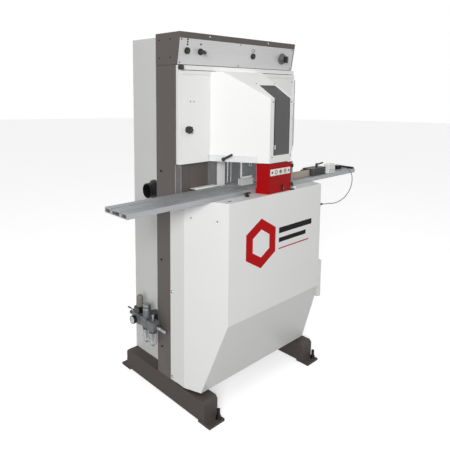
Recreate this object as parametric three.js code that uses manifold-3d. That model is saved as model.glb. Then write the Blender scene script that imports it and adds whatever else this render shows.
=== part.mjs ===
import * as THREE from 'three';
import { mergeVertices } from 'three/addons/utils/BufferGeometryUtils.js';
import Module from 'manifold-3d';

// Vertical band saw in a portal frame. Millimetres, +Z up, the operator stands at -Y.
// The saw wheels turn about X. The work is fed along X over two long tables.

const wasm = await Module();
wasm.setup();

// ---- driving dimensions ----
const GAP = 0.3;               // between parts that touch
const RUN = 0.05;              // radial running clearance
const FRAME_W = 818;           // over the two columns
const COLUMN_W = 85;           // column and foot beam width
const COLUMN_FRONT = -94.5;
const COLUMN_REAR = 47.5;
const TUBE = 5;                // wall of the steel tubes
const SHEET = 3;               // folded sheet covers
const FOOT_TOP = 105;
const FOOT_FRONT = -295;
const FOOT_REAR = 327.5;
const PLATE_T = 10;            // foot plates
const PLATE_LEN = 79;
const PLATE_OVER = 43;         // foot plate beyond the beam end
const SPINE_X = -158.3;        // right face of the inner post that carries the wheels
const HOOD_H = 142;
const HOOD_TOP_Y = -127;       // the front leans out towards the top
const HOOD_LOW_Y = -103.5;
const PANEL_MARGIN = 26;       // hood above the panel
const REAR_IN = 59;            // rear cabinet inside each column's outer face
const REAR_Y = 321.5;
const COVER_OVER = 6;          // lower cover beyond each column
const FACET_IN = 75;           // width of its oblique facet
const COVER_BACK_Y = -63.5;
const COVER_BEND_Y = -163.5;
const COVER_FRONT_Y = -370.5;
const COVER_TOP = 1018;
const COVER_FOLD = 468;
const COVER_LOW = 118;
const COVER_LOW_Y = -247.5;
const TABLE_X = 798;           // half length of the two tables
const TABLE_T = 21.7;
const TABLE_FRONT = -296.5;
const TABLE_REAR = -138.5;
const INSERT_X0 = -40;         // left and right ends of the insert between the tables
const INSERT_X1 = 60;
const DOOR_Y = -120.5;
const DOOR_ABOVE = 123;        // door above the table
const HOUSE_X = [-218, -70, 92];   // plan corners of the wheel housing on the door
const HOUSE_Y = -360.5;
const ROOF_Y = -169;           // the flat roof ends here and the slope starts
const ROOF_DROP = 121;
const WHEEL_R = 177;
const WHEEL_W = 30;
const WHEEL_X = 9;             // middle of the rim
const WHEEL_Y = -55;
const GUIDE_ABOVE = 135;       // upper blade guide above the table
const GUIDE_H = 21;
const GUIDE_DROP = 33;         // lower blade guide below the table's underside
const UPPER_ROOM = 18;         // between a wheel and the guide next to it
const LOWER_ROOM = 38;
const HEAD_ROOM = 40;          // between the upper wheel and the hood
const BLADE_T = 1;
const BLADE_W = 20;
const SHAFT_R = 20;
const STUB_R = 17;
const PULLEY_X = 62;
const BELT_W = 22;
const DRIVE_R = 75;
const MOTOR_R = 50;            // motor pulley
const MOTOR_Y = 185;
const MOTOR_Z = 330;
const HOLD_X = -97;            // middle of the hold-down
const ROD_Y = -129;
const POST_X = 102;            // hinge post of the red guard
const FENCE_Y = -250;          // face the work runs against
const PORT_R = 37;
const PORT_Y = 142;
const PORT_LEN = 48;
const PORT_DROP = 15;          // dust port below the table's underside

const COLUMN_X = FRAME_W / 2;
const INNER_X = COLUMN_X - COLUMN_W;
const REAR_X = COLUMN_X - REAR_IN;
const COVER_X = COLUMN_X + COVER_OVER;
const COVER_FRONT_X = COVER_X - FACET_IN;
const DOOR_LEFT = -COLUMN_X + 5;
const DOOR_RIGHT = COLUMN_X + 4;
const TABLE_Z = COVER_TOP + GAP;
const TABLE_TOP = TABLE_Z + TABLE_T;
const BLADE_R = WHEEL_R + GAP + BLADE_T / 2;
const BLADE_Y = WHEEL_Y - BLADE_R;
const UG = [TABLE_TOP + GUIDE_ABOVE, TABLE_TOP + GUIDE_ABOVE + GUIDE_H];
const LG = COVER_TOP - GUIDE_DROP;
const UPPER_Z = UG[1] + UPPER_ROOM + WHEEL_R;
const LOWER_Z = LG - LOWER_ROOM - WHEEL_R;
const HOOD_Z = UPPER_Z + WHEEL_R + HEAD_ROOM;
const PANEL_TOP = HOOD_Z + HOOD_H - PANEL_MARGIN;
const REAR_TOP = HOOD_Z + HOOD_H - 5;
const DOOR_LOW = TABLE_TOP + DOOR_ABOVE;
const CYLINDER_Z = TABLE_TOP + 200;      // air cylinder of the hold-down
const CYLINDER_H = 100;
const DOOR_TOP = HOOD_Z - 25;
const ROOF_LOW = DOOR_TOP - ROOF_DROP;
const GUARD_TOP = DOOR_LOW - 4;
const PORT_Z = COVER_TOP - PORT_DROP;
const ROD_X = [HOLD_X - 11, HOLD_X + 11];   // guide rods of the hold-down

// ---- helpers ----
function solid(geometry) {
  const g = geometry.index ? geometry.toNonIndexed() : geometry.clone();
  g.deleteAttribute('normal');
  g.deleteAttribute('uv');
  const m = mergeVertices(g, 1e-4);
  return new wasm.Manifold(new wasm.Mesh({
    numProp: 3,
    vertProperties: new Float32Array(m.attributes.position.array),
    triVerts: new Uint32Array(m.index.array),
  }));
}
function toGeometry(man) {
  const mesh = man.getMesh();
  const pos = new Float32Array((mesh.vertProperties.length / mesh.numProp) * 3);
  for (let i = 0; i < pos.length / 3; i++) {
    for (let k = 0; k < 3; k++) pos[3 * i + k] = mesh.vertProperties[i * mesh.numProp + k];
  }
  const g = new THREE.BufferGeometry();
  g.setAttribute('position', new THREE.BufferAttribute(pos, 3));
  g.setIndex(Array.from(mesh.triVerts));
  g.computeVertexNormals();
  return g;
}
const join = (first, ...rest) => rest.reduce((a, b) => a.add(b), first);
const cut = (first, ...rest) => rest.reduce((a, b) => a.subtract(b), first);

function box(x0, x1, y0, y1, z0, z1) {
  const g = new THREE.BoxGeometry(x1 - x0, y1 - y0, z1 - z0);
  g.translate((x0 + x1) / 2, (y0 + y1) / 2, (z0 + z1) / 2);
  return solid(g);
}
function shapeOf(points, holes = []) {
  const s = new THREE.Shape(points.map(([a, b]) => new THREE.Vector2(a, b)));
  for (const h of holes) s.holes.push(new THREE.Path(h.map(([a, b]) => new THREE.Vector2(a, b))));
  return s;
}
// plan outline in XY, raised from z0 to z1
function plan(points, z0, z1, holes) {
  const g = new THREE.ExtrudeGeometry(shapeOf(points, holes), { depth: z1 - z0, bevelEnabled: false });
  g.translate(0, 0, z0);
  return solid(g);
}
// side outline in YZ, drawn out from x0 to x1
function side(points, x0, x1, holes) {
  const g = new THREE.ExtrudeGeometry(shapeOf(points, holes), { depth: x1 - x0, bevelEnabled: false });
  g.applyMatrix4(new THREE.Matrix4().set(0, 0, 1, x0, 1, 0, 0, 0, 0, 1, 0, 0, 0, 0, 0, 1));
  return solid(g);
}
// front outline in XZ, drawn out from y0 to y1
function front(points, y0, y1, holes) {
  const flip = ([a, b]) => [-a, b];
  const s = shapeOf(points.map(flip), (holes || []).map((h) => h.map(flip)));
  const g = new THREE.ExtrudeGeometry(s, { depth: y1 - y0, bevelEnabled: false });
  g.applyMatrix4(new THREE.Matrix4().set(-1, 0, 0, 0, 0, 0, 1, y0, 0, 1, 0, 0, 0, 0, 0, 1));
  return solid(g);
}
// round solid from a closed [radius, height] outline, standing on `at` and pointing along `dir`
function turned(outline, at, dir, segments) {
  const pts = outline.map(([r, h]) => new THREE.Vector2(r, h));
  if (outline[0][0] > 0) pts.push(pts[0].clone());
  const g = new THREE.LatheGeometry(pts, segments);
  const q = new THREE.Quaternion().setFromUnitVectors(new THREE.Vector3(0, 1, 0), dir.clone().normalize());
  g.applyQuaternion(q);
  g.translate(at[0], at[1], at[2]);
  return solid(g);
}
const rod = (at, dir, r, h0, h1, segments = 16) =>
  turned([[0, h0], [r, h0], [r, h1], [0, h1]], at, dir, segments);
// a bore whose flats stay RUN clear of a shaft that turns in it
const bore = (r, segments) => (r + RUN) / Math.cos(Math.PI / segments);
const ring = (at, dir, r0, r1, h0, h1, segments = 24) =>
  turned([[r0, h0], [r1, h0], [r1, h1], [r0, h1]], at, dir, segments);
const X = new THREE.Vector3(1, 0, 0);
const Y = new THREE.Vector3(0, 1, 0);
const Z = new THREE.Vector3(0, 0, 1);

const group = new THREE.Group();
function put(name, man, color, roughness = 0.5, metalness = 0, opacity = 1) {
  const material = new THREE.MeshStandardMaterial({ color, roughness, metalness });
  if (opacity < 1) { material.transparent = true; material.opacity = opacity; }
  const mesh = new THREE.Mesh(toGeometry(man), material);
  mesh.name = name;
  group.add(mesh);
}
const TAUPE = 0x58524f;
const WHITE = 0xe9e9e7;
const STEEL = 0x8d8f91;
const ALU = 0xb4b6b8;
const BLACK = 0x1b1b1c;
const RED = 0xc8000c;

// ---- portal frame ----
const BOLT_DX = 27;            // foot bolt beside the beam's middle
for (const [name, s] of [['left_foot', -1], ['right_foot', 1]]) {
  const mid = s * (COLUMN_X - COLUMN_W / 2);
  const x0 = mid - COLUMN_W / 2;
  const x1 = mid + COLUMN_W / 2;
  const c = 12;
  let foot = side([[FOOT_FRONT, PLATE_T / 2], [FOOT_REAR, PLATE_T / 2], [FOOT_REAR, FOOT_TOP - c],
    [FOOT_REAR - c, FOOT_TOP], [FOOT_FRONT + c, FOOT_TOP], [FOOT_FRONT, FOOT_TOP - c]], x0, x1);
  foot = cut(foot, box(x0 + TUBE, x1 - TUBE, FOOT_FRONT + PLATE_LEN, FOOT_REAR - PLATE_LEN,
    -1, FOOT_TOP - TUBE));
  for (const [end, out] of [[FOOT_FRONT, -1], [FOOT_REAR, 1]]) {
    const edge = end + out * PLATE_OVER;
    const back = edge - out * PLATE_LEN;
    foot = join(foot, box(x0 - 5, x1 + 5, Math.min(edge, back), Math.max(edge, back), 0, PLATE_T));
    foot = join(foot, turned([[0, 1], [8, 1], [8, 8], [14, 8], [14, 13], [12, 13], [12, 27], [8, 27],
      [8, 58], [0, 58]], [mid + BOLT_DX, end + out * 22, 0], Z, 12));
  }
  put(name, foot, TAUPE, 0.55, 0.2);
}
const tube = (x0, x1, z0, z1) => cut(
  box(x0, x1, COLUMN_FRONT, COLUMN_REAR, z0, z1),
  box(x0 + TUBE, x1 - TUBE, COLUMN_FRONT + TUBE, COLUMN_REAR - TUBE, z0 - 1, z1 + 1));
put('left_column', tube(-COLUMN_X, -INNER_X, FOOT_TOP + GAP, HOOD_Z - GAP), TAUPE, 0.55, 0.2);
put('right_column', tube(INNER_X, COLUMN_X, FOOT_TOP + GAP, HOOD_Z - GAP), TAUPE, 0.55, 0.2);
put('cross_beam', side([[-80, 25], [20, 25], [20, FOOT_TOP], [-80, FOOT_TOP]], -INNER_X + GAP,
  INNER_X - GAP, [[[-75, 30], [15, 30], [15, 100], [-75, 100]]]), TAUPE, 0.55, 0.2);

// ---- inner post with bearing housing and tension guide ----
const SLIDE_Y = [WHEEL_Y - 30, WHEEL_Y + 30];
const SLIDE_Z = [UPPER_Z - 60, UPPER_Z + 60];
const SLIDE_X = SPINE_X + 50.3;
const SCREW_X = SPINE_X + 25.3;
const LUG_Z = UG[1] + 29;      // the lug that the tension screw hangs from
const LUG_H = 25;
const RAIL_Z = [CYLINDER_Z + CYLINDER_H + 5, UPPER_Z + 89];
const SCREW_R = 8;
let spine = tube(-INNER_X + GAP, SPINE_X, FOOT_TOP + GAP, HOOD_Z - GAP);
const HOUSING = 98;
spine = join(spine, turned([[0, -2], [62, -2], [62, 12], [45, 24], [45, HOUSING], [0, HOUSING]],
  [SPINE_X, WHEEL_Y, LOWER_Z], X, 24));
spine = cut(spine, rod([SPINE_X, WHEEL_Y, LOWER_Z], X, bore(SHAFT_R, 24), -TUBE - 2, HOUSING + 1, 24));
spine = join(spine,
  box(SPINE_X - 1, SLIDE_X, SLIDE_Y[0], SLIDE_Y[1], LUG_Z, LUG_Z + LUG_H),
  box(SPINE_X - 1, SPINE_X + 18, COLUMN_FRONT, SLIDE_Y[0] - GAP, ...RAIL_Z),
  box(SPINE_X - 1, SPINE_X + 18, SLIDE_Y[1] + GAP, SLIDE_Y[1] + 10, ...RAIL_Z));
spine = cut(spine, rod([SCREW_X, WHEEL_Y, LUG_Z - 5], Z, bore(SCREW_R, 16), 0, LUG_H + 15, 16));
put('spine_column', spine, TAUPE, 0.55, 0.2);

// ---- blade wheels, blade and tension slide ----
function wheel(z, bore) {
  const w = WHEEL_W / 2;
  let g = turned([[bore, -25], [35, -25], [35, -4], [WHEEL_R - 17, -4], [WHEEL_R - 17, -w],
    [WHEEL_R, -w], [WHEEL_R, w], [WHEEL_R - 17, w], [WHEEL_R - 17, 4], [35, 4], [35, 25], [bore, 25]],
  [WHEEL_X, WHEEL_Y, z], X, 28);
  for (let i = 0; i < 5; i++) {
    const a = (i + 0.5) * 2 * Math.PI / 5;
    const at = [WHEEL_X, WHEEL_Y + 98 * Math.cos(a), z + 98 * Math.sin(a)];
    g = cut(g, rod(at, X, 36, -10, 10, 10));
  }
  return g;
}
put('lower_wheel', wheel(LOWER_Z, SHAFT_R + GAP), STEEL, 0.4, 0.8);
put('upper_wheel', wheel(UPPER_Z, bore(STUB_R, 28)), STEEL, 0.4, 0.8);

let slide = box(SPINE_X + GAP, SLIDE_X, SLIDE_Y[0], SLIDE_Y[1], SLIDE_Z[0], SLIDE_Z[1]);
slide = join(slide, rod([SLIDE_X, WHEEL_Y, UPPER_Z], X, STUB_R, -5, WHEEL_X + 34 - SLIDE_X, 28),
  ring([SLIDE_X, WHEEL_Y, UPPER_Z], X, STUB_R - 3, STUB_R + 8, WHEEL_X + 25.5 - SLIDE_X,
    WHEEL_X + 31 - SLIDE_X, 24));
slide = join(slide, ring([SLIDE_X, WHEEL_Y, UPPER_Z], X, STUB_R - 3, STUB_R + 12, -2,
  WHEEL_X - 25.5 - SLIDE_X, 24));
slide = cut(slide, rod([SCREW_X, WHEEL_Y, SLIDE_Z[0]], Z, SCREW_R + GAP, -1, 110, 16));
put('tension_slide', slide, 0x6d7073, 0.45, 0.7);
put('tension_screw', turned([[0, -39], [9, -39], [9, -34], [23, -34], [23, -19], [13, -17],
  [13, -GAP], [SCREW_R, -GAP], [SCREW_R, UPPER_Z + 29 - LUG_Z],
  [0, UPPER_Z + 29 - LUG_Z]],
[SCREW_X, WHEEL_Y, LUG_Z], Z, 16), BLACK, 0.5, 0.1);

// closed loop around two pulleys: [centre, radius] twice, each corner pushed out so chords stay clear
function loop(c0, r0, c1, r1, steps) {
  const dy = c1[0] - c0[0];
  const dz = c1[1] - c0[1];
  const base = Math.atan2(dz, dy);
  const lean = Math.acos((r0 - r1) / Math.hypot(dy, dz));
  const pts = [];
  const arc = (c, r, from, to) => {
    const n = Math.max(4, Math.round(steps * (to - from) / Math.PI));
    const rr = r / Math.cos((to - from) / n / 2);
    for (let i = 0; i <= n; i++) {
      const a = from + (to - from) * i / n;
      const edge = i === 0 || i === n ? r : rr;
      pts.push([c[0] + edge * Math.cos(a), c[1] + edge * Math.sin(a)]);
    }
  };
  arc(c1, r1, base - lean, base + lean);
  arc(c0, r0, base + lean, base + 2 * Math.PI - lean);
  return pts;
}
function band(c0, r0, c1, r1, t, x0, x1, steps) {
  return side(loop(c0, r0 + t, c1, r1 + t, steps), x0, x1, [loop(c0, r0, c1, r1, steps)]);
}
const LOW = [WHEEL_Y, LOWER_Z];
const UP = [WHEEL_Y, UPPER_Z];
put('blade', band(LOW, WHEEL_R + GAP, UP, WHEEL_R + GAP, BLADE_T, WHEEL_X - BLADE_W / 2,
  WHEEL_X + BLADE_W / 2, 20), 0xa2a5a8, 0.3, 0.9);

// ---- drive ----
const HB = BELT_W / 2;
const pulley = (r, at) => turned([[0, -HB - 3], [r + 3, -HB - 3], [r + 3, -HB], [r, -HB], [r, HB],
  [r + 3, HB], [r + 3, HB + 3], [0, HB + 3]], at, X, 28);
put('drive_shaft', join(pulley(DRIVE_R, [PULLEY_X, WHEEL_Y, LOWER_Z]),
  rod([0, WHEEL_Y, LOWER_Z], X, SHAFT_R, SPINE_X - TUBE + 1, PULLEY_X + 22, 24)), STEEL, 0.4, 0.8);
put('motor_pulley', join(pulley(MOTOR_R, [PULLEY_X, MOTOR_Y, MOTOR_Z]),
  rod([0, MOTOR_Y, MOTOR_Z], X, 14, 20, PULLEY_X + 18, 16)), STEEL, 0.4, 0.8);
put('belt', band([MOTOR_Y, MOTOR_Z], MOTOR_R + GAP, LOW, DRIVE_R + GAP, 4.5, PULLEY_X - HB + 0.5,
  PULLEY_X + HB - 0.5, 14), 0x202020, 0.8);
let motor = turned([[0, -205], [62, -205], [74, -190], [80, -180], [80, 15], [70, 24], [0, 24]],
  [0, MOTOR_Y, MOTOR_Z], X, 24);
motor = join(motor, box(-160, 0, MOTOR_Y - 62, MOTOR_Y + 62, 120, MOTOR_Z - 60),
  box(-175, 15, MOTOR_Y - 80, MOTOR_Y + 80, FOOT_TOP + 2 * GAP + SHEET, 122),
  box(-125, -45, MOTOR_Y - 40, MOTOR_Y + 40, MOTOR_Z + 60, MOTOR_Z + 110));
motor = cut(motor, rod([0, MOTOR_Y, MOTOR_Z], X, bore(14, 16), 19, 30, 16));
put('motor', motor, 0x47637a, 0.5, 0.3);

// ---- rear cabinet ----
const RY = COLUMN_REAR + GAP;
const RZ = FOOT_TOP + GAP;
let rear = cut(box(-REAR_X, REAR_X, RY, REAR_Y, RZ, REAR_TOP),
  box(-REAR_X + SHEET, REAR_X - SHEET, RY - 1, REAR_Y + 1, RZ + SHEET, REAR_TOP - SHEET),
  rod([-REAR_X - 5, PORT_Y, PORT_Z], X, PORT_R - 3, 0, 12, 28));
put('rear_cabinet', rear, WHITE, 0.45);
let back = box(-REAR_X + SHEET + GAP, REAR_X - SHEET - GAP, REAR_Y - SHEET, REAR_Y, RZ + SHEET + GAP,
  REAR_TOP - SHEET - GAP);
for (let i = 0; i < 6; i++) {
  back = cut(back, box(-260, -60, REAR_Y - 8, REAR_Y + 2, 250 + 24 * i, 258 + 24 * i));
}
put('rear_panel', back, WHITE, 0.45);
put('dust_port', turned([[PORT_R - 3, GAP], [PORT_R + 13, GAP], [PORT_R + 13, 4], [PORT_R, 4],
  [PORT_R, PORT_LEN], [PORT_R - 3, PORT_LEN]], [-REAR_X, PORT_Y, PORT_Z], X.clone().negate(), 28), BLACK, 0.6);

// ---- control hood and panel ----
const lean = (HOOD_TOP_Y - HOOD_LOW_Y) / HOOD_H;
const face = (z) => HOOD_LOW_Y + (z - HOOD_Z) * lean;
const HOOD_TOP = HOOD_Z + HOOD_H;
const slab = (z0, z1, in0, in1) => [[face(z0) + in0, z0], [face(z0) + in1, z0], [face(z1) + in1, z1],
  [face(z1) + in0, z1]];
let hood = side([[face(HOOD_Z), HOOD_Z], [COLUMN_REAR, HOOD_Z], [COLUMN_REAR, HOOD_TOP],
  [face(HOOD_TOP), HOOD_TOP]], -COLUMN_X, COLUMN_X);
hood = cut(hood,
  side([[face(HOOD_Z - 3) + SHEET, HOOD_Z - 3], [COLUMN_REAR - SHEET, HOOD_Z - 3],
    [COLUMN_REAR - SHEET, HOOD_TOP - SHEET], [face(HOOD_TOP - SHEET) + SHEET, HOOD_TOP - SHEET]],
  -COLUMN_X + 6, COLUMN_X - 6),
  side(slab(HOOD_Z - 3, PANEL_TOP, -5, 8), -COLUMN_X + 6, COLUMN_X - 6));
put('control_hood', hood, TAUPE, 0.55, 0.2);

const NORMAL = new THREE.Vector3(0, -1, lean).normalize();
const PANEL_IN = 1;            // the panel face lies this far inside the hood's front
const onPanel = (x, z) => [x, face(z) + PANEL_IN, z];
const CONTROLS = {
  start: [-COLUMN_X + 53, HOOD_Z + 62],
  select: [-COLUMN_X + 132, HOOD_Z + 62],
  stop: [79, HOOD_Z + 60],
  main: [COLUMN_X - 97, HOOD_Z + 59],
};
let panel = side(slab(HOOD_Z + 2, PANEL_TOP - 0.6, PANEL_IN, PANEL_IN + SHEET), -COLUMN_X + 6 + GAP,
  COLUMN_X - 6 - GAP);
for (const [x, z] of Object.values(CONTROLS)) {
  panel = cut(panel, rod(onPanel(x, z), NORMAL, 6 + GAP, -12, 12, 12));
}
for (const key of ['start', 'stop', 'select']) {
  panel = join(panel, ring(onPanel(...CONTROLS[key]), NORMAL, 12, 15, -0.5, 6, 16));
}
put('control_panel', panel, 0xcfcfcf, 0.35, 0.6);
const cap = [[0, -14], [6, -14], [6, 4], [11.5, 4], [11.5, 8], [9.5, 9.5], [0, 9.5]];
put('start_button', turned(cap, onPanel(...CONTROLS.start), NORMAL, 12), BLACK, 0.4);
put('stop_button', turned(cap, onPanel(...CONTROLS.stop), NORMAL, 12), BLACK, 0.4);
put('selector_knob', turned([[0, -14], [6, -14], [6, 2], [11.5, 2], [11.5, 9], [5, 10], [5, 24],
  [9, 25], [9, 36], [0, 36]], onPanel(...CONTROLS.select), NORMAL, 12), BLACK, 0.4);
put('main_switch', join(turned([[0, -14], [6, -14], [6, GAP], [30, GAP], [30, 5], [18, 8], [18, 20],
  [0, 20]], onPanel(...CONTROLS.main), NORMAL, 20),
solid(new THREE.BoxGeometry(12, 24, 34).applyQuaternion(new THREE.Quaternion()
  .setFromUnitVectors(new THREE.Vector3(0, 1, 0), NORMAL))
  .translate(...new THREE.Vector3(...onPanel(...CONTROLS.main)).addScaledVector(NORMAL, 30)))),
0x303234, 0.4);

// ---- head: door frame, hinge, door with wheel housing, window ----
const JAMB = 14;
const FY = DOOR_Y + SHEET + GAP;
let frame = side([[DOOR_Y, DOOR_TOP + 3], [DOOR_Y + SHEET, DOOR_TOP + 3],
  [DOOR_Y + SHEET, HOOD_Z - 5], [COLUMN_FRONT - GAP, HOOD_Z - 5], [COLUMN_FRONT - GAP, HOOD_Z - 2],
  [DOOR_Y, HOOD_Z - 2]], DOOR_LEFT, COLUMN_X);
frame = join(frame, box(DOOR_LEFT, DOOR_LEFT + JAMB, FY, COLUMN_FRONT - GAP, DOOR_LOW, HOOD_Z - 4),
  box(COLUMN_X - JAMB, COLUMN_X, FY, COLUMN_FRONT - GAP, DOOR_LOW, HOOD_Z - 4));
put('door_frame', frame, WHITE, 0.45);
const HINGE = [DOOR_RIGHT + 6.5, DOOR_Y + SHEET / 2];
const HINGE_Z = [DOOR_LOW + 27, DOOR_TOP - 27];
put('door_hinge', join(box(COLUMN_X + GAP, COLUMN_X + 3.3, DOOR_Y + 4, COLUMN_FRONT + 30, ...HINGE_Z),
  box(COLUMN_X + GAP, HINGE[0] + 1, DOOR_Y + 4, DOOR_Y + 7, ...HINGE_Z),
  rod([HINGE[0], HINGE[1], 0], Z, 4.5, ...HINGE_Z, 12)), STEEL, 0.4, 0.8);

const roofLine = (y, drop) => DOOR_TOP - drop
  - Math.max(0, (ROOF_Y - y)) * (DOOR_TOP - ROOF_LOW) / (ROOF_Y - HOUSE_Y);
function housing(inset, y0, z0) {
  const [xa, xb, xc] = HOUSE_X;
  const k = (xb - xa) / (DOOR_Y - HOUSE_Y);
  const yf = HOUSE_Y + inset;
  const slant = inset * Math.hypot(1, k);
  const at = (y) => xa + (DOOR_Y - y) * k + slant;
  const outline = [[at(y0), y0], [at(yf), yf], [xc - inset, yf], [xc - inset, y0]];
  const drop = inset * 1.18;
  const top = [[y0, z0], [y0, roofLine(y0, drop)], [ROOF_Y, DOOR_TOP - drop],
    [HOUSE_Y - 5, roofLine(HOUSE_Y - 5, drop)], [HOUSE_Y - 5, z0]];
  return plan(outline, z0, DOOR_TOP + 5).intersect(side(top, -500, 500));
}
const WINDOW_X = [-42, 77];
const WINDOW_Z = DOOR_LOW + 34;
const KNOB = [DOOR_LEFT + 47, DOOR_Y, DOOR_LOW + 156];
const WINDOW_Y = -262;
let door = box(DOOR_LEFT, DOOR_RIGHT, DOOR_Y, DOOR_Y + SHEET, DOOR_LOW, DOOR_TOP);
door = join(door, housing(0, DOOR_Y + SHEET, DOOR_LOW));
door = cut(door, housing(SHEET, DOOR_Y + SHEET + 1, DOOR_LOW - 1),
  side([[HOUSE_Y - 5, WINDOW_Z], [HOUSE_Y + 6, WINDOW_Z], [HOUSE_Y + 6, ROOF_LOW - 12],
    [WINDOW_Y, roofLine(WINDOW_Y, 12)], [WINDOW_Y, roofLine(WINDOW_Y, -8)],
    [HOUSE_Y - 5, ROOF_LOW + 4]], WINDOW_X[0], WINDOW_X[1]),
  rod(KNOB, Y, 6 + GAP, -2, 6, 16));
put('head_door', door, WHITE, 0.45);

const WI = SHEET + GAP;        // the window lies against the inside of the housing
const WT = 3;
const wy = HOUSE_Y + WI;
const slope = (DOOR_TOP - ROOF_LOW) / (ROOF_Y - HOUSE_Y);
const wz = (y, drop) => roofLine(y, 0) - drop * Math.hypot(1, slope);
put('window', side([[wy, WINDOW_Z - 14], [wy + WT, WINDOW_Z - 14], [wy + WT, wz(wy + WT, WI + WT)],
  [WINDOW_Y + 14, wz(WINDOW_Y + 14, WI + WT)], [WINDOW_Y + 14, wz(WINDOW_Y + 14, WI)],
  [wy, wz(wy, WI)]], WINDOW_X[0] - 14, WINDOW_X[1] + 11), 0x55585a, 0.1, 0, 0.5);
put('door_knob', turned([[0, -14], [6, -14], [6, GAP], [20, GAP], [22, 6], [18, 22], [0, 25]],
  KNOB, Y.clone().negate(), 16), BLACK, 0.5);
put('interlock_switch', box(DOOR_LEFT - 10, DOOR_LEFT + 8, -142, DOOR_Y - GAP, DOOR_TOP + 3,
  HOOD_Z - 1), BLACK, 0.5);

// ---- clear guards ----
const bx = HOUSE_X[1] - HOUSE_X[0];
const by = HOUSE_Y - DOOR_Y;
const bl = Math.hypot(bx, by);
const dirB = [bx / bl, by / bl];
const outB = [dirB[1], -dirB[0]];
const onB = (s, off) => [HOUSE_X[0] + dirB[0] * s + outB[0] * off, DOOR_Y + dirB[1] * s + outB[1] * off];
const GUARD_OFF = 10;
const GUARD_T = 4;
const bend = (off) => {
  const y = DOOR_Y - 6 - (off - GUARD_OFF);
  const p = onB(0, off);
  return [p[0] + dirB[0] / dirB[1] * (y - p[1]), y];
};
const CLEAR_LAP = 22;
const CLEAR_X = HOUSE_X[0] - CLEAR_LAP;
put('clear_guard', plan([[CLEAR_X, bend(GUARD_OFF)[1]], bend(GUARD_OFF), onB(225, GUARD_OFF),
  onB(225, GUARD_OFF + GUARD_T), bend(GUARD_OFF + GUARD_T), [CLEAR_X, bend(GUARD_OFF + GUARD_T)[1]]],
TABLE_TOP + 7, TABLE_TOP + 154), 0xdfe6ea, 0.05, 0, 0.3);
const LEVER_S = 70;
const LEVER_Z = TABLE_TOP + 138;
const outVec = new THREE.Vector3(outB[0], outB[1], 0);
const lever0 = onB(LEVER_S, GUARD_OFF + GUARD_T + GAP);
let lever = rod([lever0[0], lever0[1], LEVER_Z], outVec, 9, 0, 16, 14);
const along = new THREE.Vector3(dirB[0], dirB[1], 0.55).normalize();
lever = join(lever, rod([lever0[0] + outB[0] * 11, lever0[1] + outB[1] * 11, LEVER_Z], along, 5.5, -6, 52, 10));
put('guard_lever', lever, BLACK, 0.5);
put('side_guard', box(-COVER_X + SHEET, -COLUMN_X - GAP, TABLE_REAR + GAP, -97, COVER_TOP + GAP, DOOR_LOW - 3),
  0xdfe6ea, 0.05, 0, 0.3);

// ---- lower cover and its top plate ----
function coverPlan(inset, back) {
  const x1 = COVER_X - inset;
  const yf = COVER_FRONT_Y + inset;
  const t = Math.atan2(COVER_X - COVER_FRONT_X, COVER_BEND_Y - COVER_FRONT_Y);
  const yb = COVER_BEND_Y + inset * Math.tan(t / 2);
  const xf = x1 - (yb - yf) * Math.tan(t);
  return [[-x1, back], [-x1, yb], [-xf, yf], [xf, yf], [x1, yb], [x1, back]];
}
const chamfer = (inset) => {
  const k = (COVER_LOW_Y - COVER_FRONT_Y) / (COVER_FOLD - COVER_LOW);
  const s = inset * Math.hypot(1, k);
  const y0 = COVER_FRONT_Y + inset;
  const f = COVER_FOLD + (inset - s) / k * -1;
  return [[y0 - 9, COVER_TOP + 5], [y0 - 9, COVER_LOW - 5], [y0 - 9, COVER_LOW - 5],
    [COVER_LOW_Y + s + 5 * k, COVER_LOW - 5], [y0, f], [y0, COVER_TOP + 5]];
};
const keepIn = (inset) => {
  const p = chamfer(inset);
  return [[p[3][0], p[3][1]], [200, COVER_LOW - 5], [200, COVER_TOP + 5], [p[5][0], p[5][1]], p[4]];
};
let cover = plan(coverPlan(0, COVER_BACK_Y), COVER_LOW, COVER_TOP).intersect(side(keepIn(0), -500, 500));
cover = cut(cover, plan(coverPlan(SHEET, COVER_BACK_Y + 1), COVER_LOW - 5, COVER_TOP + 1)
  .intersect(side(keepIn(SHEET), -500, 500)));
put('lower_cover', cover, WHITE, 0.45);

const oval = [];
for (let i = 0; i < 12; i++) {
  const a = i / 12 * 2 * Math.PI;
  oval.push([-295 + 7 * Math.sign(Math.cos(a)) + 7 * Math.cos(a), -331 + 7 * Math.sin(a)]);
}
const hole = [[-60, BLADE_Y - 39.2], [60, BLADE_Y - 39.2], [60, BLADE_Y + 36.8], [-60, BLADE_Y + 36.8]];
let top = plan(coverPlan(SHEET + GAP, COLUMN_FRONT - GAP), COVER_TOP - 6, COVER_TOP, [oval, hole]);
top = join(top, rod([POST_X, HOUSE_Y + 4, COVER_TOP], Z, 6, -3, GUARD_TOP - COVER_TOP, 12));
top = cut(top, rod([-175, -322, COVER_TOP], Z, 4 + GAP, -8, 2, 12));
put('cabinet_top', top, 0xd9d9d8, 0.45, 0.2);
put('table_lock', turned([[0, -16], [4, -16], [4, GAP], [10, GAP], [10, 8], [5, 9], [5, 14], [0, 14]],
  [-175, -322, COVER_TOP], Z, 12).add(box(-197, -153, -326, -318, COVER_TOP + 12, COVER_TOP + 19)),
BLACK, 0.5);

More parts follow.
